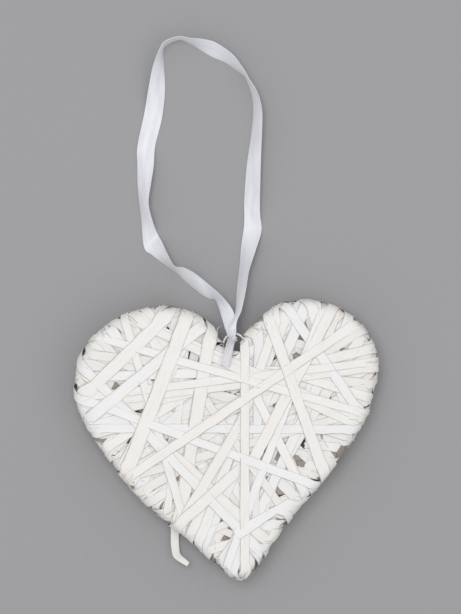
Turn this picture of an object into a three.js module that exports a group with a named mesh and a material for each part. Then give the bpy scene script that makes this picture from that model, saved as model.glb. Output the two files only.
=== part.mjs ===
// A flat heart wound from thin painted wood strips, with a wire ring in its cleft and a ribbon to
// hang it by. Millimetres, +Z up. The heart lies on its back: +Y points to the lobes, +Z to the
// front. The strips are laid one after another, each over those that are already there.
import * as THREE from "three";

// Driving dimensions
const STRIP_THICKNESS = 0.4;
const LAYER_GAP = 0.22; // air between a strip and the one under it on a face
const RIM_GAP = 0.45; // and on the rim, where the strips bend
const RIM_REACH = 7; // how far the rounded rim stands out from the frame line
const RIM_HALF_DEPTH = 6.5; // from the middle of the rim to the innermost strips
const RIM_STEPS = 5; // flats in the half round of the rim

// The frame line: the inner edge of the rounded rim, anticlockwise from the tip.
const FRAME_LINE = [
  [10, -82], [27, -64], [45, -39], [61.5, -17], [76, 6], [86.5, 29], [88, 51],
  [82, 71], [64, 82.5], [43, 83.5], [27, 74], [17, 61.5], [4, 53.5], [-9.5, 60.5],
  [-20, 71.5], [-37, 79], [-59, 76], [-76, 65], [-86.5, 47], [-87.5, 27], [-78.5, 6],
  [-66, -14], [-45, -39.5], [-24, -59], [-7, -74],
];
const CLEFT_POINT = [4, 53.5];
const CLEFT_KEPT_FREE = 26; // no row's pass crosses the rim this close to the cleft's bottom

// The strips that show best on the front, from the lowest to the topmost: two points on the
// middle of the strip, and its width. Each runs on straight to the rim both ways. One that starts
// at the lip is cut just over the rim. One that starts inside is cut at its first point, squarely
// or along the direction given.
const SHOWN_STRIPS = [
  { name: "right_flank_upper", x1: 54, y1: 29.5, x2: 90.5, y2: 13, width: 5.5 },
  { name: "right_flank_lower", x1: 57.5, y1: 23.5, x2: 89, y2: 8.5, width: 5.5 },
  { name: "middle_level", x1: -3.5, y1: 7.5, x2: 49.5, y2: 7.5, width: 6 },
  { name: "left_upright", x1: -15, y1: 44, x2: -22, y2: 3, width: 8.5 },
  { name: "centre_fall", x1: 20.5, y1: 28, x2: 32, y2: 5, width: 6, starts: "inside" },
  { name: "right_cool_slant", x1: 69, y1: 45.5, x2: 83.5, y2: 24, width: 6.5 },
  { name: "left_cool_slant", x1: -97, y1: 50, x2: -56, y2: 11.5, width: 7.5 },
  { name: "upper_level", x1: -96.5, y1: 27.5, x2: 3, y2: 39.5, width: 5.5 },
  { name: "tip_steep", x1: 23, y1: -23.5, x2: 16, y2: -42.5, width: 5.5 },
  { name: "right_lobe_fall", x1: 17.6, y1: -15, x2: 70, y2: 85.5, width: 7.5, starts: "inside" },
  { name: "flank_steep", x1: -40.5, y1: -15.5, x2: -29.5, y2: -56, width: 5.5 },
  { name: "tip_left_fall", x1: -37.5, y1: -9.5, x2: 8.5, y2: -57.5, width: 6.5 },
  { name: "centre_upright", x1: 13, y1: 66.5, x2: 10.5, y2: -86, width: 6, starts: "lip" },
  { name: "cleft_level", x1: -31.5, y1: 52, x2: 25, y2: 36, width: 5.5 },
  { name: "middle_fall", x1: -20, y1: -0.5, x2: 29.5, y2: -19.5, width: 6 },
  { name: "lower_left_rise", x1: 8.3, y1: 7.7, x2: -29, y2: -54, width: 7, starts: "inside", cut: [0, 1] },
  { name: "lower_rise", x1: 7.9, y1: -21, x2: -33, y2: -59, width: 7.5, starts: "inside", cut: [0, 1] },
  { name: "left_lobe_lower_slant", x1: -13, y1: 76, x2: -70, y2: 29, width: 8 },
  { name: "left_lobe_steep", x1: -25, y1: 82.5, x2: -65, y2: -21, width: 9.5 },
  { name: "left_lobe_slant", x1: -36.5, y1: 85, x2: -80.5, y2: 40, width: 8.5 },
  { name: "tip_wide_rise", x1: 7, y1: -62.5, x2: 50.5, y2: -40.5, width: 8.5, starts: "inside" },
  { name: "long_diagonal", x1: -64.5, y1: -25, x2: 62.5, y2: 60.5, width: 6.5 },
  { name: "right_lobe_steep", x1: 27.5, y1: 80.5, x2: 64.5, y2: -21, width: 7.5 },
];

// The strips under them lie in rows of near-parallel passes, one row over another.
const ROWS = [
  { heading: 52, pitch: 17, start: -84 },
  { heading: 128, pitch: 17, start: -86 },
  { heading: 92, pitch: 19, start: -84 },
  { heading: 8, pitch: 17, start: -70 },
];
const ROW_WIDTHS = [6, 7.5, 5.5, 8, 6.5];
const ROW_SWAY = [3, -4, 1, 5, -2, -5, 2]; // degrees that a pass strays from its row
const FILLER_COUNT = 8; // passes added where the rows leave the rim barest
const FILLER_WIDTH = 7;
const FILLER_SLANTS = [-40, -20, 0, 20, 40];
const LEAST_CHORD = 45;
const LEAST_SQUARENESS = 0.6; // how squarely a pass meets the rim, 1 at a right angle
const BACK_JOINTS = [0.5, 0.34, 0.62, 0.42, 0.7]; // where along its back a strip's ends meet
const JOINT_GAP = 3; // what is open between them
const MOST_SHIFT = 18; // how far a slanting strip moves along the rim as it goes round
const HALF_SPAN = 100; // no pass lies further from the middle than this
const PRESS_SLACK = 0.08; // how far a tight strip may press into the air over the one below
const SOUNDING_STEP = 1.5; // spacing at which a strip feels for what lies under it
const SOUNDING_ACROSS = 0.7;
const LAYING_STEP = 0.5;
const SHORE = [-1, 4]; // how far in and out of the frame line a face cell counts as rim

// The strip whose end came loose: it runs under the back and out at the lower left
const LOOSE_STRIP = {
  width: 5.6,
  innerEnd: [-33.8, -28],
  rimPoint: [-33.8, -57],
  free: [
    { left: [-36.6, -67], right: [-31.2, -67], lift: 0.4 },
    { left: [-36, -74], right: [-31.2, -73.5], lift: 2 },
    { left: [-34.6, -78], right: [-30.4, -75.2], lift: 4 },
    { left: [-29.8, -80.8], right: [-27.8, -78], lift: 6.5 },
    { left: [-26, -83], right: [-24.6, -80.8], lift: 8 },
  ],
};

// The wire ring in the cleft, level with the middle of the rim
const RING = { x: 5.6, y: 62.6, radius: 6.9, wire: 1.3 };

// The ribbon: its knot sits on the ring's top, the tail lies over the front below it, and the loop
// lies on the floor, twisting. The loop is given by its outer and its inner edge, from the knot's
// left side round to its right side, as x, y and the height over the floor.
const RIBBON_THICKNESS = 0.5;
const KNOT = { x: 4, y: 67.2, overRing: 3.4, halfSize: [4.4, 3.9, 2.3] };
const TAIL = { width: 4.8, points: [[3.6, 62.4], [2.4, 58], [1.2, 53], [-1.2, 47.5]], knotEnd: 4 };
const RIBBON_EDGES = [
  [[0, 71.8, 17.6], [5, 71.8, 17.6]],
  [[-2.5, 80, 12], [5.5, 83, 14]],
  [[-6.5, 91, 3], [-1, 92.5, 11]],
  [[-12, 93, 0.6], [-13, 103.5, 6.2]],
  [[-20, 98.5, 0.6], [-20, 109, 8.5]],
  [[-27.5, 104.5, 0.6], [-27.5, 113, 9.5]],
  [[-33, 109.5, 0.6], [-34, 114, 11]],
  [[-41.5, 116, 0.6], [-38.5, 121.5, 9.5]],
  [[-49.5, 122, 0.6], [-42.5, 130.5, 5]],
  [[-54.5, 127, 0.6], [-45.5, 136, 0.8]],
  [[-56.5, 146, 0.6], [-49.5, 146.5, 9]],
  [[-58.5, 163, 0.6], [-51.5, 157, 9]],
  [[-59, 173, 0.6], [-50, 168, 7.5]],
  [[-59, 182.5, 0.6], [-48, 181, 4]],
  [[-59, 194.5, 0.6], [-47, 195, 0.6]],
  [[-54.5, 216, 0.6], [-42.5, 213.5, 0.6]],
  [[-51.5, 232, 5], [-40.5, 231.5, 0.6]],
  [[-48, 247.5, 10], [-41, 246.5, 0.6]],
  [[-43.5, 258.5, 12.3], [-41.5, 258.5, 0.6]],
  [[-40, 263.5, 12.3], [-38.5, 262.5, 0.6]],
  [[-31.5, 266.5, 12.3], [-31, 265.5, 0.6]],
  [[-23.5, 265.5, 12], [-24, 263, 0.6]],
  [[-15, 265, 10.5], [-15.5, 258, 0.6]],
  [[-6.5, 263, 8.2], [-8.5, 254, 0.6]],
  [[4.5, 255, 10.6], [0.5, 250, 0.6]],
  [[11.5, 245.5, 12], [9.5, 243.5, 0.6]],
  [[15.5, 238.5, 12.3], [13.5, 239.5, 0.6]],
  [[21, 229.5, 12], [17.5, 228.5, 0.6]],
  [[24, 218, 11.2], [18.5, 217.5, 0.6]],
  [[24, 203, 10], [17, 202, 0.6]],
  [[23.5, 188.5, 7.8], [14.5, 184.5, 0.6]],
  [[23, 168, 6.5], [13.5, 174, 0.6]],
  [[23, 150, 3], [12.5, 158, 0.6]],
  [[24, 138, 0.6], [12.5, 143, 0.6]],
  [[20, 125, 8], [10.5, 128, 0.6]],
  [[15.5, 111.5, 10.8], [9, 111.5, 0.8]],
  [[13.5, 99.5, 13], [7.5, 99, 4]],
  [[10.5, 85.5, 17], [6.5, 84.5, 12]],
  [[7.5, 78, 20], [4, 77, 18.4]],
  [[7, 71.8, 20.6], [2.5, 71.8, 20.6]],
];

// Small helpers
const wrap = (value, length) => ((value % length) + length) % length;
const mix = (a, b, t) => a + (b - a) * t;
const mixPoint = (a, b, t) => [mix(a[0], b[0], t), mix(a[1], b[1], t)];
const distance = (a, b) => Math.hypot(b[0] - a[0], b[1] - a[1]);

// The closed line that the strips are wound over, in steps of about a millimetre.
class FrameLine {
  constructor(points) {
    const corners = points.map(([x, y]) => new THREE.Vector3(x, y, 0));
    const curve = new THREE.CatmullRomCurve3(corners, true, "centripetal");
    curve.arcLengthDivisions = 2400;
    this.length = curve.getLength();
    this.count = Math.round(this.length);
    this.step = this.length / this.count;
    this.points = curve.getSpacedPoints(this.count).slice(0, -1);
    const reach = 2;
    const turned = this.points.map((_, i) => {
      const ahead = this.points[wrap(i + reach, this.count)];
      const behind = this.points[wrap(i - reach, this.count)];
      return Math.atan2(ahead.y - behind.y, ahead.x - behind.x);
    });
    this.headings = turned;
    this.bends = turned.map((_, i) => {
      const turn = turned[wrap(i + reach, this.count)] - turned[wrap(i - reach, this.count)];
      return Math.atan2(Math.sin(turn), Math.cos(turn)) / (2 * reach * this.step);
    });
  }

  // The point at a length along the line, with the outward direction and the bend there.
  at(s) {
    const place = wrap(s, this.length) / this.step;
    const i = Math.floor(place) % this.count;
    const j = (i + 1) % this.count;
    const t = place - Math.floor(place);
    const [a, b] = [this.headings[i], this.headings[j]];
    const tx = mix(Math.cos(a), Math.cos(b), t);
    const ty = mix(Math.sin(a), Math.sin(b), t);
    const size = Math.hypot(tx, ty);
    return {
      x: mix(this.points[i].x, this.points[j].x, t),
      y: mix(this.points[i].y, this.points[j].y, t),
      tangent: [tx / size, ty / size],
      outward: [ty / size, -tx / size],
      bend: mix(this.bends[i], this.bends[j], t),
    };
  }

  // The stretches of a straight line that lie inside the frame line. Along counts from the point
  // given, and from and to are lengths on the frame line.
  chords([x, y], [dx, dy]) {
    const meetings = [];
    for (let i = 0; i < this.count; i++) {
      const a = this.points[i];
      const b = this.points[(i + 1) % this.count];
      const [ex, ey] = [b.x - a.x, b.y - a.y];
      const across = dx * ey - dy * ex;
      if (Math.abs(across) < 1e-9) continue;
      const along = ((a.x - x) * ey - (a.y - y) * ex) / across;
      const t = ((a.x - x) * dy - (a.y - y) * dx) / across;
      if (t >= 0 && t < 1) meetings.push({ along, s: (i + t) * this.step });
    }
    meetings.sort((a, b) => a.along - b.along);
    const found = [];
    for (let i = 0; i + 1 < meetings.length; i += 2) {
      const [a, b] = [meetings[i], meetings[i + 1]];
      found.push({ from: a.s, to: b.s, start: a.along, stop: b.along, length: b.along - a.along });
    }
    return found;
  }

  nearest([x, y]) {
    const gaps = this.points.map((p) => Math.hypot(p.x - x, p.y - y));
    return gaps.indexOf(Math.min(...gaps)) * this.step;
  }

  apart(a, b) {
    const gap = wrap(a - b, this.length);
    return Math.min(gap, this.length - gap);
  }
}

// How high the strips laid so far stand over the bare form: on the two faces in cells of a
// millimetre, and round the rim in flats of its half round by millimetres along the frame line.
// Shore cells are those of a face that lie over the rim's first flat, so they share its height.
class LaidStrips {
  constructor(line) {
    this.line = line;
    this.faces = { front: new Map(), back: new Map() };
    this.rim = Array.from({ length: RIM_STEPS }, () => new Float64Array(line.count));
    this.shore = new Map();
    for (let out = SHORE[1]; out >= SHORE[0]; out -= 0.5) {
      for (let i = 0; i < line.count; i++) {
        const place = line.at(i * line.step);
        this.shore.set(this.cell(place.x + place.outward[0] * out, place.y + place.outward[1] * out), i);
      }
    }
  }

  cell(x, y) {
    return Math.round(x) * 4096 + Math.round(y);
  }

  shoreFlat(face) {
    return this.rim[face === "front" ? 0 : RIM_STEPS - 1];
  }

  faceHeight(face, x, y) {
    const key = this.cell(x, y);
    const shore = this.shore.get(key);
    return Math.max(this.faces[face].get(key) ?? 0, shore === undefined ? 0 : this.shoreFlat(face)[shore]);
  }

  raiseFace(face, x, y, height) {
    const key = this.cell(x, y);
    this.faces[face].set(key, Math.max(height, this.faces[face].get(key) ?? 0));
    const shore = this.shore.get(key);
    if (shore !== undefined) this.shoreFlat(face)[shore] = Math.max(height, this.shoreFlat(face)[shore]);
  }

  rimCells(low, high) {
    const first = Math.floor(low / this.line.step);
    const count = Math.ceil(high / this.line.step) - first + 1;
    return Array.from({ length: count }, (_, i) => wrap(first + i, this.line.count));
  }

  rimHeight(flat, low, high) {
    return Math.max(...this.rimCells(low, high).map((i) => this.rim[flat][i]));
  }

  raiseRim(flat, low, high, height) {
    for (const i of this.rimCells(low, high)) this.rim[flat][i] = Math.max(this.rim[flat][i], height);
  }
}

const resting = (height, gap) => (height > 0 ? height + gap : 0);
const faceSign = { front: 1, back: -1 };

// One strip's way round the heart, as a row of stations. A station gives its two edge points at
// any height over the bare form. The strip starts on the back, comes round the rim at its entry,
// crosses the front, goes round the rim at its exit and ends on the back near its own start.
class StripPath {
  constructor(line, laid, { from, to, width, joint, starts = "back", x1, y1, cut }) {
    Object.assign(this, { line, laid, width });
    const start = line.at(from);
    const end = line.at(to);
    const heading = new THREE.Vector2(end.x - start.x, end.y - start.y).normalize();
    const entry = this.crossing(from, start, heading.clone().negate(), -1);
    const exit = this.crossing(to, end, heading, 1);
    const backLength = this.matchBack(entry, exit);
    const entryHeights = this.rimHeights(entry);
    const exitHeights = this.rimHeights(exit);
    const openShare = JOINT_GAP / 2 / backLength;
    const stations = [];

    const backEnds = [this.rimEnds(exit, 1), this.rimEnds(entry, 1)];
    const runOver = (face, ends, shares, heights) => faceRun(laid, { face, ends, width, shares, heights });
    if (starts === "back") {
      const run = runOver("back", backEnds, [joint + openShare, 1], [0, entryHeights[RIM_STEPS]]);
      entryHeights[RIM_STEPS] = run.at(-1).height;
      stations.push(...run.slice(0, -1));
    }
    if (starts === "lip") entryHeights.length = 2;
    const cutEnd = () => {
      const side = new THREE.Vector2(-heading.y, heading.x);
      const along = cut ? new THREE.Vector2(...cut) : side.clone();
      along.multiplyScalar(width / 2 / along.dot(side));
      return { left: [x1 + along.x, y1 + along.y], right: [x1 - along.x, y1 - along.y] };
    };
    const inside = starts === "inside";
    const frontStart = inside ? cutEnd() : this.rimEnds(entry, 0);
    const frontEnds = [frontStart, this.rimEnds(exit, 0)];
    const across = runOver("front", frontEnds, [0, 1], [inside ? 0 : entryHeights[0], exitHeights[0]]);
    exitHeights[0] = across.at(-1).height;
    if (!inside) {
      entryHeights[0] = across[0].height;
      this.layRim(entry, entryHeights);
      stations.push(...this.rimStations(entry, entryHeights).reverse().slice(0, -1));
    }
    stations.push(...across.slice(0, -1));
    const stop = starts === "back" ? joint - openShare : 0.85;
    const run = runOver("back", backEnds, [0, stop], [exitHeights[RIM_STEPS], 0]);
    exitHeights[RIM_STEPS] = run[0].height;
    this.layRim(exit, exitHeights);
    stations.push(...this.rimStations(exit, exitHeights), ...run.slice(1));
    this.stations = stations;
  }

  // A crossing of the rim: heading points outward there, and side says on which side along the
  // frame line the strip's left edge lies. A slanting strip moves along the rim as it goes round.
  crossing(s, place, heading, side) {
    const outward = heading.x * place.outward[0] + heading.y * place.outward[1];
    const along = heading.x * place.tangent[0] + heading.y * place.tangent[1];
    const roundLength = Math.PI * Math.hypot(RIM_REACH, RIM_HALF_DEPTH) * Math.SQRT1_2;
    const shift = THREE.MathUtils.clamp((along / outward) * roundLength, -MOST_SHIFT, MOST_SHIFT);
    return { s, side, shift, spreads: [1 / Math.max(outward, LEAST_SQUARENESS)] };
  }

  // The back run joins the two crossings where they come round.
  matchBack(entry, exit) {
    const a = this.line.at(exit.s + exit.shift);
    const b = this.line.at(entry.s + entry.shift);
    const heading = new THREE.Vector2(b.x - a.x, b.y - a.y);
    const length = heading.length();
    heading.normalize();
    for (const [crossing, place] of [[exit, a], [entry, b]]) {
      const outward = Math.abs(heading.x * place.outward[0] + heading.y * place.outward[1]);
      crossing.spreads.push(1 / Math.max(outward, LEAST_SQUARENESS));
    }
    return length;
  }

  // The middle of the strip on the rim, and half its length along the frame line, from 0 at the
  // front to 1 at the back.
  rimSection({ s, shift, spreads }, t) {
    const middle = s + shift * t;
    const reach = RIM_REACH * Math.sin(Math.PI * t);
    const stretch = Math.max(1 + this.line.at(middle).bend * reach, 0.45);
    return { s: middle, half: ((this.width / 2) * mix(...spreads, t)) / stretch };
  }

  rimEnds(crossing, t) {
    const { s, half } = this.rimSection(crossing, t);
    const edge = (side) => {
      const place = this.line.at(s + side * half);
      return [place.x, place.y];
    };
    return { left: edge(crossing.side), right: edge(-crossing.side) };
  }

  rimSpan(crossing, flat) {
    const ends = [flat, flat + 1].map((step) => this.rimSection(crossing, step / RIM_STEPS));
    return [
      Math.min(...ends.map(({ s, half }) => s - half)),
      Math.max(...ends.map(({ s, half }) => s + half)),
    ];
  }

  rimHeights(crossing) {
    const needs = Array.from({ length: RIM_STEPS }, (_, flat) =>
      resting(this.laid.rimHeight(flat, ...this.rimSpan(crossing, flat)), RIM_GAP),
    );
    return Array.from({ length: RIM_STEPS + 1 }, (_, step) =>
      Math.max(needs[Math.max(step - 1, 0)], needs[Math.min(step, RIM_STEPS - 1)]),
    );
  }

  rimStations(crossing, heights) {
    return heights.map((height, step) => {
      const t = step / RIM_STEPS;
      const { s, half } = this.rimSection(crossing, t);
      const angle = Math.PI * (0.5 - t);
      const edge = (side) => (over) => {
        const place = this.line.at(s + side * half);
        const reach = (RIM_REACH + over) * Math.cos(angle);
        const [ox, oy] = place.outward;
        const z = (RIM_HALF_DEPTH + over) * Math.sin(angle);
        return new THREE.Vector3(place.x + ox * reach, place.y + oy * reach, z);
      };
      return { height, left: edge(crossing.side), right: edge(-crossing.side) };
    });
  }

  layRim(crossing, heights) {
    for (let flat = 0; flat + 1 < heights.length; flat++) {
      const top = Math.max(heights[flat], heights[flat + 1]) + STRIP_THICKNESS;
      this.laid.raiseRim(flat, ...this.rimSpan(crossing, flat), top);
    }
  }
}

// A strip over one face, pulled tight over what lies there, between two shares of the way from
// one end to the other. It counts as laid at once.
function faceRun(laid, { face, ends: [a, b], width, shares: [start, stop], heights: [first, last] }) {
  const edgesAt = (share) => [mixPoint(a.left, b.left, share), mixPoint(a.right, b.right, share)];
  const length = Math.max(distance(a.left, b.left), distance(a.right, b.right)) * (stop - start);
  const count = Math.max(4, Math.ceil(length / SOUNDING_STEP));
  const across = Math.ceil(width / SOUNDING_ACROSS);
  const needs = Array.from({ length: count + 1 }, (_, i) => {
    const edges = edgesAt(mix(start, stop, i / count));
    const heights = Array.from({ length: across + 1 }, (_, j) =>
      laid.faceHeight(face, ...mixPoint(...edges, j / across)),
    );
    return resting(Math.max(...heights), LAYER_GAP);
  });
  const eased = needs.map((_, i) => Math.max(...needs.slice(Math.max(i - 1, 0), i + 2)));
  eased[0] = Math.max(eased[0], first);
  eased[count] = Math.max(eased[count], last);
  const stations = tightLine(eased).map(({ at, height }) => {
    const [left, right] = edgesAt(mix(start, stop, at / count));
    const edge = ([x, y]) => (over) =>
      new THREE.Vector3(x, y, faceSign[face] * (RIM_HALF_DEPTH + over));
    return { height, left: edge(left), right: edge(right), ends: [left, right] };
  });
  for (let i = 0; i + 1 < stations.length; i++) layFlat(laid, face, width, stations[i], stations[i + 1]);
  return stations;
}

function layFlat(laid, face, width, a, b) {
  const length = Math.max(distance(a.ends[0], b.ends[0]), distance(a.ends[1], b.ends[1]));
  const steps = Math.ceil(length / LAYING_STEP);
  const across = Math.ceil(width / LAYING_STEP);
  for (let j = 0; j <= steps; j++) {
    const left = mixPoint(a.ends[0], b.ends[0], j / steps);
    const right = mixPoint(a.ends[1], b.ends[1], j / steps);
    const top = mix(a.height, b.height, j / steps) + STRIP_THICKNESS;
    for (let k = 0; k <= across; k++) laid.raiseFace(face, ...mixPoint(left, right, k / across), top);
  }
}

// A line pulled tight over a row of heights: the corners of its upper hull, without those that
// the line can do without when it may press down on what it crosses by a little slack.
function tightLine(heights) {
  const between = (a, b, at) => mix(a.height, b.height, (at - a.at) / (b.at - a.at));
  const corners = [];
  heights.forEach((height, at) => {
    const next = { at, height };
    while (corners.length > 1) {
      const [a, b] = corners.slice(-2);
      if (b.height > between(a, next, b.at)) break;
      corners.pop();
    }
    corners.push(next);
  });
  for (let i = corners.length - 2; i > 0; i--) {
    const [a, b] = [corners[i - 1], corners[i + 1]];
    const under = heights.slice(a.at, b.at + 1);
    if (under.every((height, j) => height < between(a, b, a.at + j) + PRESS_SLACK)) corners.splice(i, 1);
  }
  return corners;
}

// A flat band through stations that each give a left and a right edge point at two heights. Its
// upper and lower walls are split along the same diagonal, so a twisted band keeps its thickness.
function bandGeometry(stations, low, high) {
  const corners = stations.flatMap(({ height, left, right }) => [
    left(height + high), right(height + high), right(height + low), left(height + low),
  ]);
  const slice = (i) => [0, 1, 2, 3].map((k) => 4 * i + k);
  const faces = [];
  for (let i = 0; i + 1 < stations.length; i++) {
    const [upLeft, upRight, lowRight, lowLeft] = slice(i);
    const [nextUpLeft, nextUpRight, nextLowRight, nextLowLeft] = slice(i + 1);
    faces.push([upLeft, upRight, nextUpRight], [upLeft, nextUpRight, nextUpLeft]);
    faces.push([lowLeft, nextLowRight, lowRight], [lowLeft, nextLowLeft, nextLowRight]);
    faces.push([upRight, lowRight, nextLowRight], [upRight, nextLowRight, nextUpRight]);
    faces.push([upLeft, nextLowLeft, lowLeft], [upLeft, nextUpLeft, nextLowLeft]);
  }
  const [upLeft, upRight, lowRight, lowLeft] = slice(0);
  faces.push([upLeft, lowLeft, lowRight], [upLeft, lowRight, upRight]);
  const [endUpLeft, endUpRight, endLowRight, endLowLeft] = slice(stations.length - 1);
  faces.push([endUpLeft, endLowRight, endLowLeft], [endUpLeft, endUpRight, endLowRight]);
  const geometry = new THREE.BufferGeometry().setFromPoints(corners).setIndex(faces.flat());
  const flatShaded = geometry.toNonIndexed();
  flatShaded.computeVertexNormals();
  return flatShaded;
}

// The passes of one row: parallel lines across the heart, each turned a little out of the row.
function rowPasses(line, { heading, pitch, start }, row) {
  const cleft = line.nearest(CLEFT_POINT);
  const passes = [];
  for (let n = 0, off = start; off < HALF_SPAN; n++, off += pitch) {
    const sway = ROW_SWAY[(n + row) % ROW_SWAY.length];
    const angle = THREE.MathUtils.degToRad(heading + sway);
    const across = THREE.MathUtils.degToRad(heading + 90);
    const direction = [Math.cos(angle), Math.sin(angle)];
    const point = [Math.cos(across) * off, Math.sin(across) * off];
    for (const chord of line.chords(point, direction)) {
      const square = [chord.from, chord.to].every((s) => {
        const { outward } = line.at(s);
        return Math.abs(direction[0] * outward[0] + direction[1] * outward[1]) > LEAST_SQUARENESS;
      });
      const clear = [chord.from, chord.to].every((s) => line.apart(s, cleft) > CLEFT_KEPT_FREE);
      if (!square || !clear || chord.length < LEAST_CHORD) continue;
      passes.push({ ...chord, width: ROW_WIDTHS[(n + 2 * row) % ROW_WIDTHS.length] });
    }
  }
  return passes;
}

// Passes added where the others leave the rim barest. Each starts in the middle of the barest
// stretch and takes the slant that ends where the rim is barest too.
function fillerPasses(line, passes) {
  const cover = new Float64Array(line.count);
  const cellOf = (s) => Math.round(wrap(s, line.length) / line.step) % line.count;
  const add = (s, reach) => {
    for (let d = -reach; d <= reach; d++) cover[cellOf(s + d)] += 1 - Math.abs(d) / reach;
  };
  const cleft = line.nearest(CLEFT_POINT);
  for (let d = -CLEFT_KEPT_FREE; d <= CLEFT_KEPT_FREE; d++) cover[cellOf(cleft + d)] = Infinity;
  for (const { from, to, width } of passes) [from, to].forEach((s) => add(s, 1.6 * width));
  const fillers = [];
  while (fillers.length < FILLER_COUNT) {
    const s = cover.indexOf(Math.min(...cover)) * line.step;
    const { x, y, outward } = line.at(s);
    const inside = [x - outward[0], y - outward[1]];
    const options = FILLER_SLANTS.map((slant) => {
      const angle = Math.atan2(-outward[1], -outward[0]) + THREE.MathUtils.degToRad(slant);
      const direction = [Math.cos(angle), Math.sin(angle)];
      const chord = line.chords(inside, direction).find(({ start, stop }) => start < 0 && stop > 0);
      const end = line.at(chord.to);
      const square = direction[0] * end.outward[0] + direction[1] * end.outward[1];
      const fits = square > LEAST_SQUARENESS && chord.length > LEAST_CHORD;
      return { ...chord, cost: fits ? cover[cellOf(chord.to)] : Infinity };
    });
    options.sort((a, b) => a.cost - b.cost);
    add(s, 1.6 * FILLER_WIDTH);
    if (options[0].cost === Infinity) continue;
    add(options[0].to, 1.6 * FILLER_WIDTH);
    fillers.push({ ...options[0], width: FILLER_WIDTH });
  }
  return fillers;
}

// A shown strip reaches the rim both ways from its two points.
function shownPass(line, strip) {
  const middle = [(strip.x1 + strip.x2) / 2, (strip.y1 + strip.y2) / 2];
  const length = Math.hypot(strip.x2 - strip.x1, strip.y2 - strip.y1);
  const direction = [(strip.x2 - strip.x1) / length, (strip.y2 - strip.y1) / length];
  const chord = line.chords(middle, direction).find(({ start, stop }) => start < 0 && stop > 0);
  return { ...strip, ...chord };
}

// Materials
const paint = (color) => new THREE.MeshStandardMaterial({ color, roughness: 0.7 });
const PAINTS = [paint(0xefede8), paint(0xe9ecef), paint(0xefeae4)];
const COATED_WIRE = new THREE.MeshStandardMaterial({ color: 0xf0efee, roughness: 0.35 });
const SATIN = new THREE.MeshStandardMaterial({ color: 0xe6e5f1, roughness: 0.45 });

// The loose strip: a taut run on the back, then its free end.
function looseStations(laid) {
  const { width, innerEnd, rimPoint, free } = LOOSE_STRIP;
  const endAt = ([x, y]) => ({ left: [x - width / 2, y], right: [x + width / 2, y] });
  const ends = [endAt(innerEnd), endAt(rimPoint)];
  const taut = faceRun(laid, { face: "back", ends, width, shares: [0, 1], heights: [0, 0] });
  const level = taut.at(-1).height;
  const hanging = free.map(({ left, right, lift }) => {
    const edge = ([x, y]) => (over) => new THREE.Vector3(x, y, lift - RIM_HALF_DEPTH - over);
    return { height: level, left: edge(left), right: edge(right) };
  });
  return [...taut, ...hanging];
}

// Stations for a band given by its two edges in space: over is measured along its own normal.
function ribbonStations(edges) {
  const lefts = edges.map(([left]) => new THREE.Vector3(...left));
  const rights = edges.map(([, right]) => new THREE.Vector3(...right));
  return edges.map((_, i) => {
    const [before, after] = [Math.max(i - 1, 0), Math.min(i + 1, edges.length - 1)];
    const travel = lefts[after].clone().add(rights[after]).sub(lefts[before]).sub(rights[before]);
    const normal = travel.cross(lefts[i].clone().sub(rights[i])).normalize();
    const edge = (point) => (over) => point.clone().addScaledVector(normal, over);
    return { height: 0, left: edge(lefts[i]), right: edge(rights[i]) };
  });
}

// The ribbon's tail lies on the front, as high as the strips under it.
function tailEdges(laid) {
  const { points, width, knotEnd } = TAIL;
  const heights = points.map(([x, y], i) => {
    if (i === 0) return knotEnd;
    let most = 0;
    for (let d = -width / 2 - 1; d <= width / 2 + 1; d += 0.5) {
      for (let e = -3; e <= 3; e++) most = Math.max(most, laid.faceHeight("front", x + d, y + e));
    }
    return RIM_HALF_DEPTH + most + RIBBON_THICKNESS / 2 + RIM_GAP;
  });
  const highest = Math.max(...heights.slice(2));
  return points.map(([x, y], i) => {
    const z = i > 1 ? highest : heights[i];
    return [[x + width / 2, y, z], [x - width / 2, y, z]];
  });
}

const line = new FrameLine(FRAME_LINE);
const laid = new LaidStrips(line);
const rows = ROWS.flatMap((row, i) => rowPasses(line, row, i));
const shown = SHOWN_STRIPS.map((strip) => shownPass(line, strip));
const strips = [...fillerPasses(line, [...rows, ...shown]), ...rows, ...shown];

const heart = new THREE.Group();
const addPiece = (name, geometry, material) => {
  const mesh = new THREE.Mesh(geometry, material);
  mesh.name = name;
  heart.add(mesh);
  return mesh;
};

strips.forEach((strip, i) => {
  const joint = BACK_JOINTS[i % BACK_JOINTS.length];
  const { stations } = new StripPath(line, laid, { ...strip, joint });
  const name = "wood_strip_" + String(i + 1).padStart(2, "0");
  addPiece(name, bandGeometry(stations, 0, STRIP_THICKNESS), PAINTS[i % PAINTS.length]);
});
addPiece("loose_strip", bandGeometry(looseStations(laid), 0, STRIP_THICKNESS), PAINTS[0]);
const ring = addPiece("hanging_ring", new THREE.TorusGeometry(RING.radius, RING.wire / 2, 6, 20), COATED_WIRE);
ring.position.set(RING.x, RING.y, 0);

// The origin is under the middle of the heart, on the floor that its lowest strip lies on.
const bounds = new THREE.Box3().setFromObject(heart);
const middle = bounds.getCenter(new THREE.Vector3());
heart.position.set(-middle.x, -middle.y, -bounds.min.z);

const halfRibbon = RIBBON_THICKNESS / 2;
const loopEdges = RIBBON_EDGES.map((pair) => pair.map(([x, y, z]) => [x, y, z + bounds.min.z]));
addPiece("ribbon_loop", bandGeometry(ribbonStations(loopEdges), -halfRibbon, halfRibbon), SATIN);
addPiece("ribbon_tail", bandGeometry(ribbonStations(tailEdges(laid)), -halfRibbon, halfRibbon), SATIN);
const knot = addPiece("ribbon_knot", new THREE.SphereGeometry(1, 10, 7), SATIN);
knot.scale.set(...KNOT.halfSize);
knot.position.set(KNOT.x, KNOT.y, KNOT.overRing);

export default heart;
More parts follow.
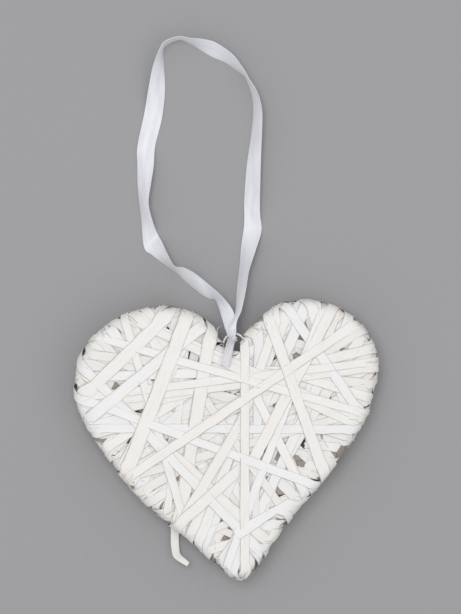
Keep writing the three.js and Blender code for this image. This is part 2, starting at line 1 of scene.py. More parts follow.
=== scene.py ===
"""A flat heart wound from thin painted wood strips, with a wire ring and a satin ribbon loop.

The heart lies on its back: +Y points to its lobes, +Z to its front. Lengths are millimetres in the
heart's own drawing, whose middle plane is the middle of the rim, until Drawing turns them to metres.
"""
import logging
import math
from collections.abc import Callable, Iterable, Sequence
from dataclasses import dataclass, field, fields, replace
from enum import Enum

import bpy
import numpy as np
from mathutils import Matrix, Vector

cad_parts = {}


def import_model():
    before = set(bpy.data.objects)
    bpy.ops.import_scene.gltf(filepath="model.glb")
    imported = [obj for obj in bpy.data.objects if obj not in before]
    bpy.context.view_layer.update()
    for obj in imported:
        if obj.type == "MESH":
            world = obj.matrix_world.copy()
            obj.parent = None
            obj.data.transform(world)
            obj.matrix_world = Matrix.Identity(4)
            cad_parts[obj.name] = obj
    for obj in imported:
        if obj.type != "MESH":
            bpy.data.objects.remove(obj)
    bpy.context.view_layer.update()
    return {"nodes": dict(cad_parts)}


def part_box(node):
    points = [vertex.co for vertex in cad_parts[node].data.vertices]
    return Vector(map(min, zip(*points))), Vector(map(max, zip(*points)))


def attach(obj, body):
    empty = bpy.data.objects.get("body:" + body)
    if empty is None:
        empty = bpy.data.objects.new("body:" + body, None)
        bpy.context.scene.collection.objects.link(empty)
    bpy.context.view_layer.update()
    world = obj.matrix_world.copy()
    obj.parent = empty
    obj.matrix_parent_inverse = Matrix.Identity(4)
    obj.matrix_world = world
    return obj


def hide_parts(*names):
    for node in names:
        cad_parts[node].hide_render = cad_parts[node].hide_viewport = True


log = logging.getLogger("heart")

MM = 0.001
Point = tuple[float, float]
Colour = tuple[float, float, float]

# The strips: thinner than the solids, and pressed to about a third of their loose height, over a
# form that is thicker than theirs
STRIP_THICKNESS = 0.2
LAYER_GAP = 0.02
RIM_GAP = 0.02
RIM_REACH = 8.2
RIM_HALF_DEPTH = 11.5
PRESSED = 0.35
RIM_SQUARENESS = 0.66
RIM_STEP = 2.2
TIP_NARROWING = 0.5
TIP_STRETCH = 15.0
CLEFT_NARROWING = 0.6
CLEFT_STRETCH = 13.0
RIM_STEPS = 10

# How a strip's ends meet on the back, and what a pass has to be like to be laid
JOINT_GAP = 3.0
BACK_JOINTS = (0.5, 0.34, 0.62, 0.42, 0.7)
MOST_SHIFT = 18.0
HALF_SPAN = 100.0
LEAST_CHORD = 45.0
LEAST_SQUARENESS = 0.6
CLEFT_POINT: Point = (4, 53.5)
CLEFT_KEPT_FREE = 26

# The rows of passes, and the fillers where they leave the rim barest; widths, sways and slants in turn
ROW_WIDTHS = (6.0, 7.5, 5.5, 8.0, 6.5)
ROW_SWAY = (3, -4, 1, 5, -2, -5, 2)
FILLER_COUNT = 8
FILLER_WIDTH = 7.0
FILLER_SLANTS = (-40, -20, 0, 20, 40)
COVER_REACH = 1.6

# The line that the solids are wound over, anticlockwise from the tip
FRAME_LINE: tuple[Point, ...] = (
    (10, -82), (27, -64), (45, -39), (61.5, -17), (76, 6), (86.5, 29), (88, 51),
    (82, 71), (64, 82.5), (43, 83.5), (27, 74), (17, 61.5), (4, 53.5), (-9.5, 60.5),
    (-20, 71.5), (-37, 79), (-59, 76), (-76, 65), (-86.5, 47), (-87.5, 27), (-78.5, 6),
    (-66, -14), (-45, -39.5), (-24, -59), (-7, -74),
)

# The same line a little fuller at the lobes, because the splints lie closer than the solids
FULLER_LINE: tuple[Point, ...] = (
    (10.5, -86.5), (22.5, -64.5), (41, -39.5), (60.5, -17.5), (77.5, 6), (88, 29.5), (90.5, 52),
    (82, 70), (63, 80.5), (44.5, 81.5), (29.5, 72.5), (18, 61), (4, 53.5), (-9.5, 60.5),
    (-20, 71.5), (-37, 78), (-58.5, 74.5), (-76.5, 64.5), (-88.5, 47), (-89, 27), (-79.5, 5.5),
    (-65.5, -14), (-44, -38.5), (-21, -56.5), (-3, -74.5),
)

# The ribbon, as in the solids: its outer and inner edge as x, y and height over the floor
RIBBON_EDGES = (
    ((0, 71.8, 17.6), (5, 71.8, 17.6)),
    ((-2.5, 80, 12), (5.5, 83, 14)),
    ((-6.5, 91, 3), (-1, 92.5, 11)),
    ((-12, 93, 0.6), (-13, 103.5, 6.2)),
    ((-20, 98.5, 0.6), (-20, 109, 8.5)),
    ((-27.5, 104.5, 0.6), (-27.5, 113, 9.5)),
    ((-33, 109.5, 0.6), (-34, 114, 11)),
    ((-41.5, 116, 0.6), (-38.5, 121.5, 9.5)),
    ((-49.5, 122, 0.6), (-42.5, 130.5, 5)),
    ((-54.5, 127, 0.6), (-45.5, 136, 0.8)),
    ((-56.5, 146, 0.6), (-49.5, 146.5, 9)),
    ((-58.5, 163, 0.6), (-51.5, 157, 9)),
    ((-59, 173, 0.6), (-50, 168, 7.5)),
    ((-59, 182.5, 0.6), (-48, 181, 4)),
    ((-59, 194.5, 0.6), (-47, 195, 0.6)),
    ((-54.5, 216, 0.6), (-42.5, 213.5, 0.6)),
    ((-51.5, 232, 5), (-40.5, 231.5, 0.6)),
    ((-48, 247.5, 10), (-41, 246.5, 0.6)),
    ((-43.5, 258.5, 12.3), (-41.5, 258.5, 0.6)),
    ((-40, 263.5, 12.3), (-38.5, 262.5, 0.6)),
    ((-31.5, 266.5, 12.3), (-31, 265.5, 0.6)),
    ((-23.5, 265.5, 12), (-24, 263, 0.6)),
    ((-15, 265, 10.5), (-15.5, 258, 0.6)),
    ((-6.5, 263, 8.2), (-8.5, 254, 0.6)),
    ((4.5, 255, 10.6), (0.5, 250, 0.6)),
    ((11.5, 245.5, 12), (9.5, 243.5, 0.6)),
    ((15.5, 238.5, 12.3), (13.5, 239.5, 0.6)),
    ((21, 229.5, 12), (17.5, 228.5, 0.6)),
    ((24, 218, 11.2), (18.5, 217.5, 0.6)),
    ((24, 203, 10), (17, 202, 0.6)),
    ((23.5, 188.5, 7.8), (14.5, 184.5, 0.6)),
    ((23, 168, 6.5), (13.5, 174, 0.6)),
    ((23, 150, 3), (12.5, 158, 0.6)),
    ((24, 138, 0.6), (12.5, 143, 0.6)),
    ((20, 125, 8), (10.5, 128, 0.6)),
    ((15.5, 111.5, 10.8), (9, 111.5, 0.8)),
    ((13.5, 99.5, 13), (7.5, 99, 4)),
    ((10.5, 85.5, 17), (6.5, 84.5, 12)),
    ((7.5, 78, 20), (4, 77, 18.4)),
    ((7, 71.8, 20.6), (2.5, 71.8, 20.6)),
)

# The photograph's frame, and the camera over it
IMAGE_SIZE = (461, 614)
IMAGE_MM_PER_PIXEL = 0.662
IMAGE_MIDDLE: Point = (3.31, 87.05)
CAMERA_HEIGHT = 1600.0


class Start(Enum):
    """Where a strip begins its way round the heart."""

    BACK = "back"
    LIP = "lip"
    INSIDE = "inside"


@dataclass(frozen=True)
class Strip:
    """A strip that shows on the front, by two points on its middle line.

    Attributes:
        name: What the strip is called.
        first: A point on its middle, where one that starts inside is cut.
        second: A point further on.
        width: Its width.
        start: Where it begins.
        cut: The direction of its cut end, square if None.
    """

    name: str
    first: Point
    second: Point
    width: float
    start: Start = Start.BACK
    cut: Point | None = None


SHOWN_STRIPS = (
    Strip("right_flank_upper", (54, 29.5), (90.5, 13), 5.5),
    Strip("right_flank_lower", (57.5, 23.5), (89, 8.5), 5.5),
    Strip("middle_level", (-3.5, 7.5), (49.5, 7.5), 6),
    Strip("left_upright", (-15, 44), (-22, 3), 8.5),
    Strip("centre_fall", (20.5, 28), (32, 5), 6, Start.INSIDE),
    Strip("right_cool_slant", (69, 45.5), (83.5, 24), 6.5),
    Strip("left_cool_slant", (-97, 50), (-56, 11.5), 7.5),
    Strip("upper_level", (-96.5, 27.5), (3, 39.5), 5.5),
    Strip("tip_steep", (23, -23.5), (16, -42.5), 5.5),
    Strip("right_lobe_fall", (17.6, -15), (70, 85.5), 7.5, Start.INSIDE),
    Strip("flank_steep", (-40.5, -15.5), (-29.5, -56), 5.5),
    Strip("tip_left_fall", (-37.5, -9.5), (8.5, -57.5), 6.5),
    Strip("centre_upright", (13, 66.5), (10.5, -86), 6, Start.LIP),
    Strip("cleft_level", (-31.5, 52), (25, 36), 5.5),
    Strip("middle_fall", (-20, -0.5), (29.5, -19.5), 6),
    Strip("lower_left_rise", (8.3, 7.7), (-29, -54), 7, Start.INSIDE, (0, 1)),
    Strip("lower_rise", (7.9, -21), (-33, -59), 7.5, Start.INSIDE, (0, 1)),
    Strip("left_lobe_lower_slant", (-13, 76), (-70, 29), 8),
    Strip("left_lobe_steep", (-25, 82.5), (-65, -21), 9.5),
    Strip("left_lobe_slant", (-36.5, 85), (-80.5, 40), 8.5),
    Strip("tip_wide_rise", (7, -62.5), (50.5, -40.5), 8.5, Start.INSIDE),
    Strip("long_diagonal", (-64.5, -25), (62.5, 60.5), 6.5),
    Strip("right_lobe_steep", (27.5, 80.5), (64.5, -21), 7.5),
)


# Strips that show between those, without a solid of their own
SMALLER_STRIPS = (
    Strip("lobe", (-75.1, 73.2), (-64.5, 57.3), 7),
    Strip("lobe", (-62.6, 78.4), (-52.6, 61.9), 7),
    Strip("lobe", (-49.3, 79.8), (-38.1, 59.9), 6),
    Strip("lobe", (-48, 66.5), (-36.7, 46.7), 6.5),
    Strip("flank", (-96.3, 58.6), (-71.2, 50.6), 6.5),
    Strip("flank", (-95, 20.2), (-64.5, 25.5), 6),
    Strip("flank", (-91, 13.6), (-63.2, 13.6), 7),
    Strip("flank", (-86.4, 4.3), (-59.9, 9.6), 6.5),
    Strip("flank", (-80.4, -7.6), (-56.6, 8.9), 6.5),
    Strip("flank", (-71.2, -18.2), (-50, 0.3), 6),
    Strip("low", (-62.6, -26.1), (-40.1, -13.6), 5.5),
    Strip("low", (-57.3, -35.4), (-38.1, -24.8), 6),
    Strip("low", (-52, -42.7), (-32.8, -32.1), 6),
    Strip("low", (-35.4, -18.2), (-38.1, -40.7), 5),
    Strip("low", (7, -63.2), (-22.2, -54.6), 5.5, Start.INSIDE),
    Strip("low", (-24.8, -67.9), (-7.6, -60.6), 5.5),
    Strip("low", (7.6, -61.9), (-4.3, -84.4), 5.5, Start.INSIDE),
    Strip("low", (-14.2, -75.1), (7, -69.2), 6),
    Strip("fan", (9.6, -63.2), (39.4, -55.9), 6, Start.INSIDE),
    Strip("fan", (11.6, -70.5), (38.1, -61.9), 5, Start.INSIDE),
    Strip("fan", (12.9, -75.1), (32.8, -67.9), 5, Start.INSIDE),
    Strip("fan", (12.9, -63.9), (26.8, -80.4), 6.5, Start.INSIDE),
    Strip("fan", (16.2, -45.3), (50.6, -40.1), 5.5, Start.INSIDE),
    Strip("right", (40.1, -9.6), (51.3, -34.1), 6.5, Start.INSIDE),
    Strip("right", (28.1, -19.5), (50.6, -42.7), 7, Start.INSIDE),
    Strip("right", (44, -4.3), (21.5, -40.7), 7),
    Strip("right", (41.4, 89.7), (29.5, 61.9), 7),
    Strip("right", (52.6, 89.7), (40.7, 61.9), 7),
    Strip("right", (56.6, 88.4), (66.5, 58.6), 7),
    Strip("right", (73.8, 87.7), (63.9, 59.9), 6.5),
    Strip("right", (82.4, 81.8), (71.2, 57.3), 6.5),
    Strip("right", (89.7, 71.8), (65.9, 57.3), 7),
    Strip("right", (97, 59.9), (63.9, 52), 6.5),
    Strip("right", (99, 48), (65.9, 46.7), 6.5),
    Strip("right", (98.3, 36.1), (72.5, 38.7), 6),
    Strip("right", (49.3, 41.4), (95.7, 26.8), 6, Start.INSIDE),
    Strip("lip", (20.9, 65.2), (20.9, 38.7), 6.5, Start.LIP),
    Strip("right", (32.8, 83.7), (24.2, 58.6), 6.5),
    Strip("mid", (-30.1, 30.8), (10.9, 36.1), 5.5),
    Strip("mid", (22.2, 24.2), (32.1, 5), 5.5, Start.INSIDE),
    Strip("mid", (-31.4, -15.6), (-3.6, -7.6), 5.5),
    Strip("mid", (-13.6, 26.8), (1.7, 5.6), 5.5, Start.INSIDE),
    Strip("lobe", (-20.2, 77.1), (-30.1, 57.3), 7),
    Strip("lobe", (-10.9, 70.5), (-14.9, 48.7), 6.5),
)


@dataclass(frozen=True)
class Row:
    """A row of near-parallel passes across the heart."""

    heading: float
    pitch: float
    start: float


# The solids' rows, and the rows of deep strips
ROWS = (Row(52, 17, -84), Row(128, 17, -86), Row(92, 19, -84), Row(8, 17, -70))
DEEP_ROWS = (
    Row(70, 10, -90), Row(112, 11, -92), Row(20, 11, -84), Row(150, 11, -88),
)

# Rows between the solids' rows and the strips that show best, without solids of their own
CLOSE_ROWS = (
    Row(34, 16, -84), Row(146, 15, -86), Row(74, 17, -88), Row(109, 16, -90), Row(168, 19, -76),
)
CLOSE_WIDTHS = (4.5, 6.0, 4.0, 5.5, 5.0)

# Spots where the photograph shows small gaps down to the inner strips
GAPS: tuple[Point, ...] = (
    (-67, 68), (-54, 76), (-38, 72), (-49, 59), (-43, 63), (-88, 51), (-91, 37), (-71, 36),
    (-60, 55), (-27, 57), (-20, 55), (-11, 41), (-18, 41), (-62, 23), (-72, 15), (-38, 21),
    (-16, 23), (-12, 16), (-4, 22), (-6, 33), (4, 27), (-77, 1), (48, 83), (53, 75), (51, 67),
    (68, 85), (74, 74), (17, 68), (30, 55), (50, 41), (57, 38), (67, 41), (74, 31), (86, 59),
    (90, 35), (33, 25), (20, 12), (67, 14), (72, 4), (51, 4), (-70, -10), (-53, -14), (-31, -3),
    (-49, -20), (-61, -28), (-49, -33), (-34, -39), (-22, -41), (-22, -12), (-16, -24), (-8, -29),
    (-23, -29), (4, -25), (-1, -33), (-16, -53), (8, -50), (6, -57), (2, -61), (0, -68),
    (-17, -70), (-4, -76), (20, -24), (19, -37), (27, -7), (25, -39), (31, -28), (38, -37),
    (37, -14), (43, -45), (35, -55), (25, -65), (23, -58), (59, -14), (59, -27),
)

# How far a pass may move and turn to leave those spots open, and what that costs it
MOST_SWERVE = 7
SWERVE_TURNS = (0, -3, 3, -6, 6)
SWERVE_MARGIN = 1.0
SHIFT_COST, TURN_COST = 0.03, 0.02

# Short wraps round the rim: how wide they are, how far in they start, and how they slant in degrees
WRAP_WIDTHS = (6.5, 5.0, 7.5, 5.5, 8.0, 6.0)
WRAP_REACHES = (8.0, 14.0, 10.0, 18.0, 9.0, 12.0, 15.0)
WRAP_SLANTS = (-12, 18, -26, 6, 26)
WRAP_PITCH = 0.88
WRAP_STOP = 0.2
WRAP_START = 2.0
WRAP_MARGIN = 0.8
WRAP_TURNS = 3
PASS_STOP = 0.85

# The deep strips: the heights between which they lie, over the middle of the bare form
DEEP_BASE = -2.6
DEEP_TOP = -0.05
DEEP_THICKNESS = 0.2
DEEP_GAP = 0.02
# How far the deep strips turn toward their dark colour: bare wood and painted shade
DEEP_BARE_AND_SHADE = 0.75

# Where the random draws of the shown, the smaller and the deep strips start
SHOWN_SEED, SMALLER_SEED, DEEP_SEED = 11, 200, 500


def mix(a: float, b: float, t: float) -> float:
    """Return the value a share t of the way from a to b."""
    return a + (b - a) * t


def unit(vector: np.ndarray) -> np.ndarray:
    """Return rows of vectors at length one."""
    return vector / np.maximum(np.linalg.norm(vector, axis=-1, keepdims=True), 1e-12)


def run_lengths(points: np.ndarray) -> np.ndarray:
    """Return how far each point lies along the line that they make."""
    return np.concatenate([[0], np.cumsum(np.linalg.norm(np.diff(points, axis=0), axis=1))])


def rows_between(left: np.ndarray, right: np.ndarray, count: int) -> tuple[np.ndarray, np.ndarray]:
    """Return rows of points from one edge to another.

    Args:
        left: One edge, point by point.
        right: The other.
        count: How many points a row has.

    Returns:
        The rows, and the share of the way across that each of their points lies at.
    """
    u = np.linspace(0, 1, count)[None, :, None]
    return left[:, None] * (1 - u) + right[:, None] * u, u


def add_object(name: str, data: bpy.types.ID) -> bpy.types.Object:
    """Return a new object of the scene that holds some data."""
    made = bpy.data.objects.new(name, data)
    bpy.context.scene.collection.objects.link(made)
    return made


class FrameLine:
    """The closed line that the strips are wound over, in steps of about a millimetre."""

    def __init__(self, corners: Sequence[Point]) -> None:
        """Lay the line through its corners.

        Args:
            corners: The points that it passes, anticlockwise from the tip.
        """
        self.corners = np.array(corners, float)
        divisions = 2400
        shares = np.arange(divisions + 1) / divisions
        dense = self._curve(shares)
        lengths = run_lengths(dense)
        self.length = float(lengths[-1])
        self.count = round(self.length)
        self.step = self.length / self.count
        wanted = np.arange(self.count) * self.step
        self.points = self._curve(np.interp(wanted, lengths, shares))
        reach = 2
        ahead, behind = np.roll(self.points, -reach, axis=0), np.roll(self.points, reach, axis=0)
        chord = ahead - behind
        self.headings = np.arctan2(chord[:, 1], chord[:, 0])
        turn = np.roll(self.headings, -reach) - np.roll(self.headings, reach)
        self.bends = np.arctan2(np.sin(turn), np.cos(turn)) / (2 * reach * self.step)
        self.cleft = self.nearest(CLEFT_POINT)

    def _curve(self, shares: np.ndarray) -> np.ndarray:
        """Return points of the centripetal curve through the corners at shares of its run.

        Args:
            shares: Shares of the line's run, from 0 to 1.

        Returns:
            A point for each share.
        """
        count = len(self.corners)
        place = shares * count
        index = np.floor(place).astype(int)
        t = (place - index)[:, None]
        p0, p1, p2, p3 = (self.corners[(index + k) % count] for k in (-1, 0, 1, 2))
        pairs = ((p0, p1), (p1, p2), (p2, p3))
        gap = [np.sqrt(np.linalg.norm(b - a, axis=1))[:, None] for a, b in pairs]
        leave = ((p1 - p0) / gap[0] - (p2 - p0) / (gap[0] + gap[1]) + (p2 - p1) / gap[1]) * gap[1]
        arrive = ((p2 - p1) / gap[1] - (p3 - p1) / (gap[1] + gap[2]) + (p3 - p2) / gap[2]) * gap[1]
        square = -3 * p1 + 3 * p2 - 2 * leave - arrive
        cube = 2 * p1 - 2 * p2 + leave + arrive
        return p1 + leave * t + square * t**2 + cube * t**3

    def at(self, s: np.ndarray | float) -> tuple[np.ndarray, np.ndarray, np.ndarray]:
        """Return places, outward directions and bends at lengths along the line.

        Args:
            s: Lengths along the line.

        Returns:
            Points, unit outward vectors and bends, one row for each length.
        """
        place = (np.atleast_1d(s) % self.length) / self.step
        i = np.floor(place).astype(int) % self.count
        j = (i + 1) % self.count
        t = (place - np.floor(place))[:, None]
        points = self.points[i] * (1 - t) + self.points[j] * t
        sine = np.sin(self.headings)[:, None]
        cosine = np.cos(self.headings)[:, None]
        tangent = np.hstack([cosine, sine])
        along = unit(tangent[i] * (1 - t) + tangent[j] * t)
        outward = np.stack([along[:, 1], -along[:, 0]], axis=1)
        bends = self.bends[i] * (1 - t[:, 0]) + self.bends[j] * t[:, 0]
        return points, outward, bends

    def chords(self, point: Point, direction: Point) -> list[tuple[float, float, float, float]]:
        """Return the stretches of a straight line that lie inside the frame line.

        Args:
            point: A point on the straight line.
            direction: Its direction.

        Returns:
            For each stretch, its two lengths on the frame line and its two lengths from the point.
        """
        a = self.points
        edge = np.roll(a, -1, axis=0) - a
        across = direction[0] * edge[:, 1] - direction[1] * edge[:, 0]
        off = a - np.array(point)
        with np.errstate(divide="ignore", invalid="ignore"):
            along = (off[:, 0] * edge[:, 1] - off[:, 1] * edge[:, 0]) / across
            t = (off[:, 0] * direction[1] - off[:, 1] * direction[0]) / across
        met = np.flatnonzero((np.abs(across) > 1e-9) & (t >= 0) & (t < 1))
        met = met[np.argsort(along[met])]
        places = [(float(along[i]), float((i + t[i]) * self.step)) for i in met]
        pairs = zip(places[::2], places[1::2])
        return [(first[1], last[1], first[0], last[0]) for first, last in pairs]

    def reach(self, s: np.ndarray | float) -> np.ndarray:
        """Return how far the rim reaches out, which is less at the tip and the cleft.

        Args:
            s: Lengths along the line.

        Returns:
            The rim's reach at each.
        """
        half = self.length / 2
        tip, cleft = ((np.atleast_1d(s) - place + half) % self.length - half for place in (0, self.cleft))
        narrower = TIP_NARROWING * np.exp(-((tip / TIP_STRETCH) ** 2))
        return RIM_REACH * (1 - narrower - CLEFT_NARROWING * np.exp(-((cleft / CLEFT_STRETCH) ** 2)))

    def nearest(self, point: Point) -> float:
        """Return the length along the line nearest a point."""
        return float(np.argmin(np.linalg.norm(self.points - np.array(point), axis=1)) * self.step)

    def apart(self, a: float, b: float) -> float:
        """Return how far apart two lengths lie, the shorter way round."""
        gap = (a - b) % self.length
        return min(gap, self.length - gap)


@dataclass(frozen=True)
class Pass:
    """One straight pass over the front, from one crossing of the rim to the other.

    Attributes:
        begin: The length on the frame line at which it comes onto the front.
        end: The length at which it leaves it.
        width: Its width.
        start: Where it begins.
        first: Where it is cut, if it starts inside.
        cut: The direction of that cut end, square if None.
        stop: The share of its back run at which it ends, if it doesn't begin on the back.
    """

    begin: float
    end: float
    width: float
    start: Start = Start.BACK
    first: Point = (0, 0)
    cut: Point | None = None
    stop: float = PASS_STOP


class Winding:
    """Works out where the passes of the rows, the fillers and the shown strips lie."""

    def __init__(self, line: FrameLine) -> None:
        """Keep the frame line."""
        self.line = line

    def row(
        self, row: Row, number: int, widths: Sequence[float] = ROW_WIDTHS, gaps: Sequence[Point] = (),
    ) -> list[Pass]:
        """Return the passes of one row.

        Args:
            row: The row.
            number: Its place among the rows, which varies its sway and widths.
            widths: The widths that its passes take in turn.
            gaps: Spots that the passes swerve round where they can.

        Returns:
            The passes that meet the rim squarely enough, away from the cleft.
        """
        passes = []
        off = row.start
        n = 0
        while off < HALF_SPAN:
            width = widths[(n + 2 * number) % len(widths)]
            heading = row.heading + ROW_SWAY[(n + number) % len(ROW_SWAY)]
            across = math.radians(row.heading + 90)
            shift, turn = self._swerve(off, heading, across, width, gaps)
            angle = math.radians(heading + turn)
            direction = (math.cos(angle), math.sin(angle))
            point = (math.cos(across) * (off + shift), math.sin(across) * (off + shift))
            for begin, end, first, last in self.line.chords(point, direction):
                _, outward, _ = self.line.at(np.array([begin, end]))
                square = np.all(np.abs(outward @ np.array(direction)) > LEAST_SQUARENESS)
                clear = all(self.line.apart(s, self.line.cleft) > CLEFT_KEPT_FREE for s in (begin, end))
                if square and clear and last - first >= LEAST_CHORD:
                    passes.append(Pass(begin, end, width))
            off += row.pitch
            n += 1
        return passes

    @staticmethod
    def _swerve(
        off: float, heading: float, across: float, width: float, gaps: Sequence[Point],
    ) -> tuple[float, float]:
        """Return how far a pass moves sideways and turns to cover as few gaps as it can.

        Args:
            off: Where the pass lies in its row.
            heading: Its heading in degrees.
            across: The direction across its row.
            width: Its width.
            gaps: The spots to leave open.

        Returns:
            The shift in millimetres and the turn in degrees.
        """
        if not gaps:
            return 0.0, 0.0
        spots = np.array(gaps, float)
        side = np.array([math.cos(across), math.sin(across)])

        def cost(move: Point) -> float:
            """Return how much a move covers, with a little for the move itself.

            Args:
                move: A shift and a turn.

            Returns:
                Its cost.
            """
            angle = math.radians(heading + move[1])
            beside = np.array([-math.sin(angle), math.cos(angle)])
            reach = np.abs((spots - side * (off + move[0])) @ beside)
            covered = float(np.count_nonzero(reach < width / 2 + SWERVE_MARGIN))
            return covered + SHIFT_COST * abs(move[0]) + TURN_COST * abs(move[1])

        shifts = range(-MOST_SWERVE, MOST_SWERVE + 1)
        return min(((float(shift), float(turn)) for shift in shifts for turn in SWERVE_TURNS), key=cost)

    def wraps(self, gaps: Sequence[Point]) -> list[Pass]:
        """Return short passes that fold over the rim, side by side all the way round.

        Args:
            gaps: Spots that they slant away from where they can.

        Returns:
            The passes, which start a little inside the rim, every third one first so that
            neighbours lie over and under each other in turn.
        """
        spots = np.array(gaps, float)
        passes = []
        s, n = WRAP_START, 0
        while s < self.line.length:
            width, reach = WRAP_WIDTHS[n % len(WRAP_WIDTHS)], WRAP_REACHES[n % len(WRAP_REACHES)]
            points, outwards, _ = self.line.at(s)
            options = []
            for k in range(len(WRAP_SLANTS)):
                slant = math.radians(WRAP_SLANTS[(k + 2 * n) % len(WRAP_SLANTS)])
                cosine, sine = math.cos(slant), math.sin(slant)
                x, y = outwards[0]
                way = np.array([x * cosine - y * sine, x * sine + y * cosine])
                first = points[0] - way * reach
                off = spots - first
                ahead = off @ way
                beside = np.abs(off @ np.array([-way[1], way[0]])) < width / 2 + WRAP_MARGIN
                covered = int(np.count_nonzero(beside & (ahead > -1.5) & (ahead < 2 * reach)))
                options.append((covered, k, way, first))
            _, _, way, first = min(options, key=lambda option: option[:2])
            chords = self.line.chords(tuple(points[0] - way), tuple(way))
            begin, end, *_ = min(chords, key=lambda chord: abs(chord[3] - 1))
            passes.append(Pass(begin, end, width, Start.INSIDE, tuple(first), stop=WRAP_STOP))
            s += WRAP_PITCH * width
            n += 1
        return [one for turn in range(WRAP_TURNS) for one in passes[turn::WRAP_TURNS]]

    def shown(self, strip: Strip) -> Pass:
        """Return the pass of a strip that is given by two points.

        Args:
            strip: The strip.

        Returns:
            Its pass, on the chord that lies nearest the two points.
        """
        (x1, y1), (x2, y2) = strip.first, strip.second
        length = math.hypot(x2 - x1, y2 - y1)
        direction = ((x2 - x1) / length, (y2 - y1) / length)
        middle = ((x1 + x2) / 2, (y1 + y2) / 2)
        chords = self.line.chords(middle, direction)
        begin, end, *_ = min(chords, key=lambda chord: max(chord[2], -chord[3]))
        return Pass(begin, end, strip.width, strip.start, strip.first, strip.cut)

    def onto(self, other: FrameLine, passes: Iterable[Pass]) -> list[Pass]:
        """Return passes with their lengths measured on another line.

        Args:
            other: The line that they are wound on.
            passes: The passes.

        Returns:
            The passes, each end at the place nearest its old one.
        """
        moved = []
        for one in passes:
            begin, end = (other.nearest(tuple(self.line.at(s)[0][0])) for s in (one.begin, one.end))
            moved.append(replace(one, begin=begin, end=end))
        return moved

    def fillers(self, passes: Sequence[Pass]) -> list[Pass]:
        """Return passes where the others leave the rim barest.

        Args:
            passes: The passes that are there.

        Returns:
            The added passes.
        """
        line = self.line
        cover = np.zeros(line.count)

        def cell(s: float) -> int:
            """Return the cell of the rim that a length lies in."""
            return int(math.floor((s % line.length) / line.step + 0.5)) % line.count

        def add(s: float, reach: float) -> None:
            """Count the rim round a length as covered, less and less to both sides.

            Args:
                s: The length.
                reach: How far it is covered.
            """
            d = -reach
            while d <= reach:
                cover[cell(s + d)] += 1 - abs(d) / reach
                d += 1

        for d in range(-CLEFT_KEPT_FREE, CLEFT_KEPT_FREE + 1):
            cover[cell(line.cleft + d)] = math.inf
        for one in passes:
            add(one.begin, COVER_REACH * one.width)
            add(one.end, COVER_REACH * one.width)
        fillers: list[Pass] = []
        while len(fillers) < FILLER_COUNT:
            s = int(np.argmin(cover)) * line.step
            points, outwards, _ = line.at(s)
            point, outward = points[0], outwards[0]
            inside = (point[0] - outward[0], point[1] - outward[1])
            options = []
            for slant in FILLER_SLANTS:
                angle = math.atan2(-outward[1], -outward[0]) + math.radians(slant)
                direction = (math.cos(angle), math.sin(angle))
                for begin, end, first, last in line.chords(inside, direction):
                    if not first < 0 < last:
                        continue
                    _, ends, _ = line.at(end)
                    square = float(ends[0] @ np.array(direction))
                    fits = square > LEAST_SQUARENESS and last - first > LEAST_CHORD
                    options.append((cover[cell(end)] if fits else math.inf, begin, end))
            options.sort(key=lambda option: option[0])
            cost, begin, end = options[0]
            add(s, COVER_REACH * FILLER_WIDTH)
            if cost == math.inf:
                continue
            add(end, COVER_REACH * FILLER_WIDTH)
            fillers.append(Pass(begin, end, FILLER_WIDTH))
        return fillers


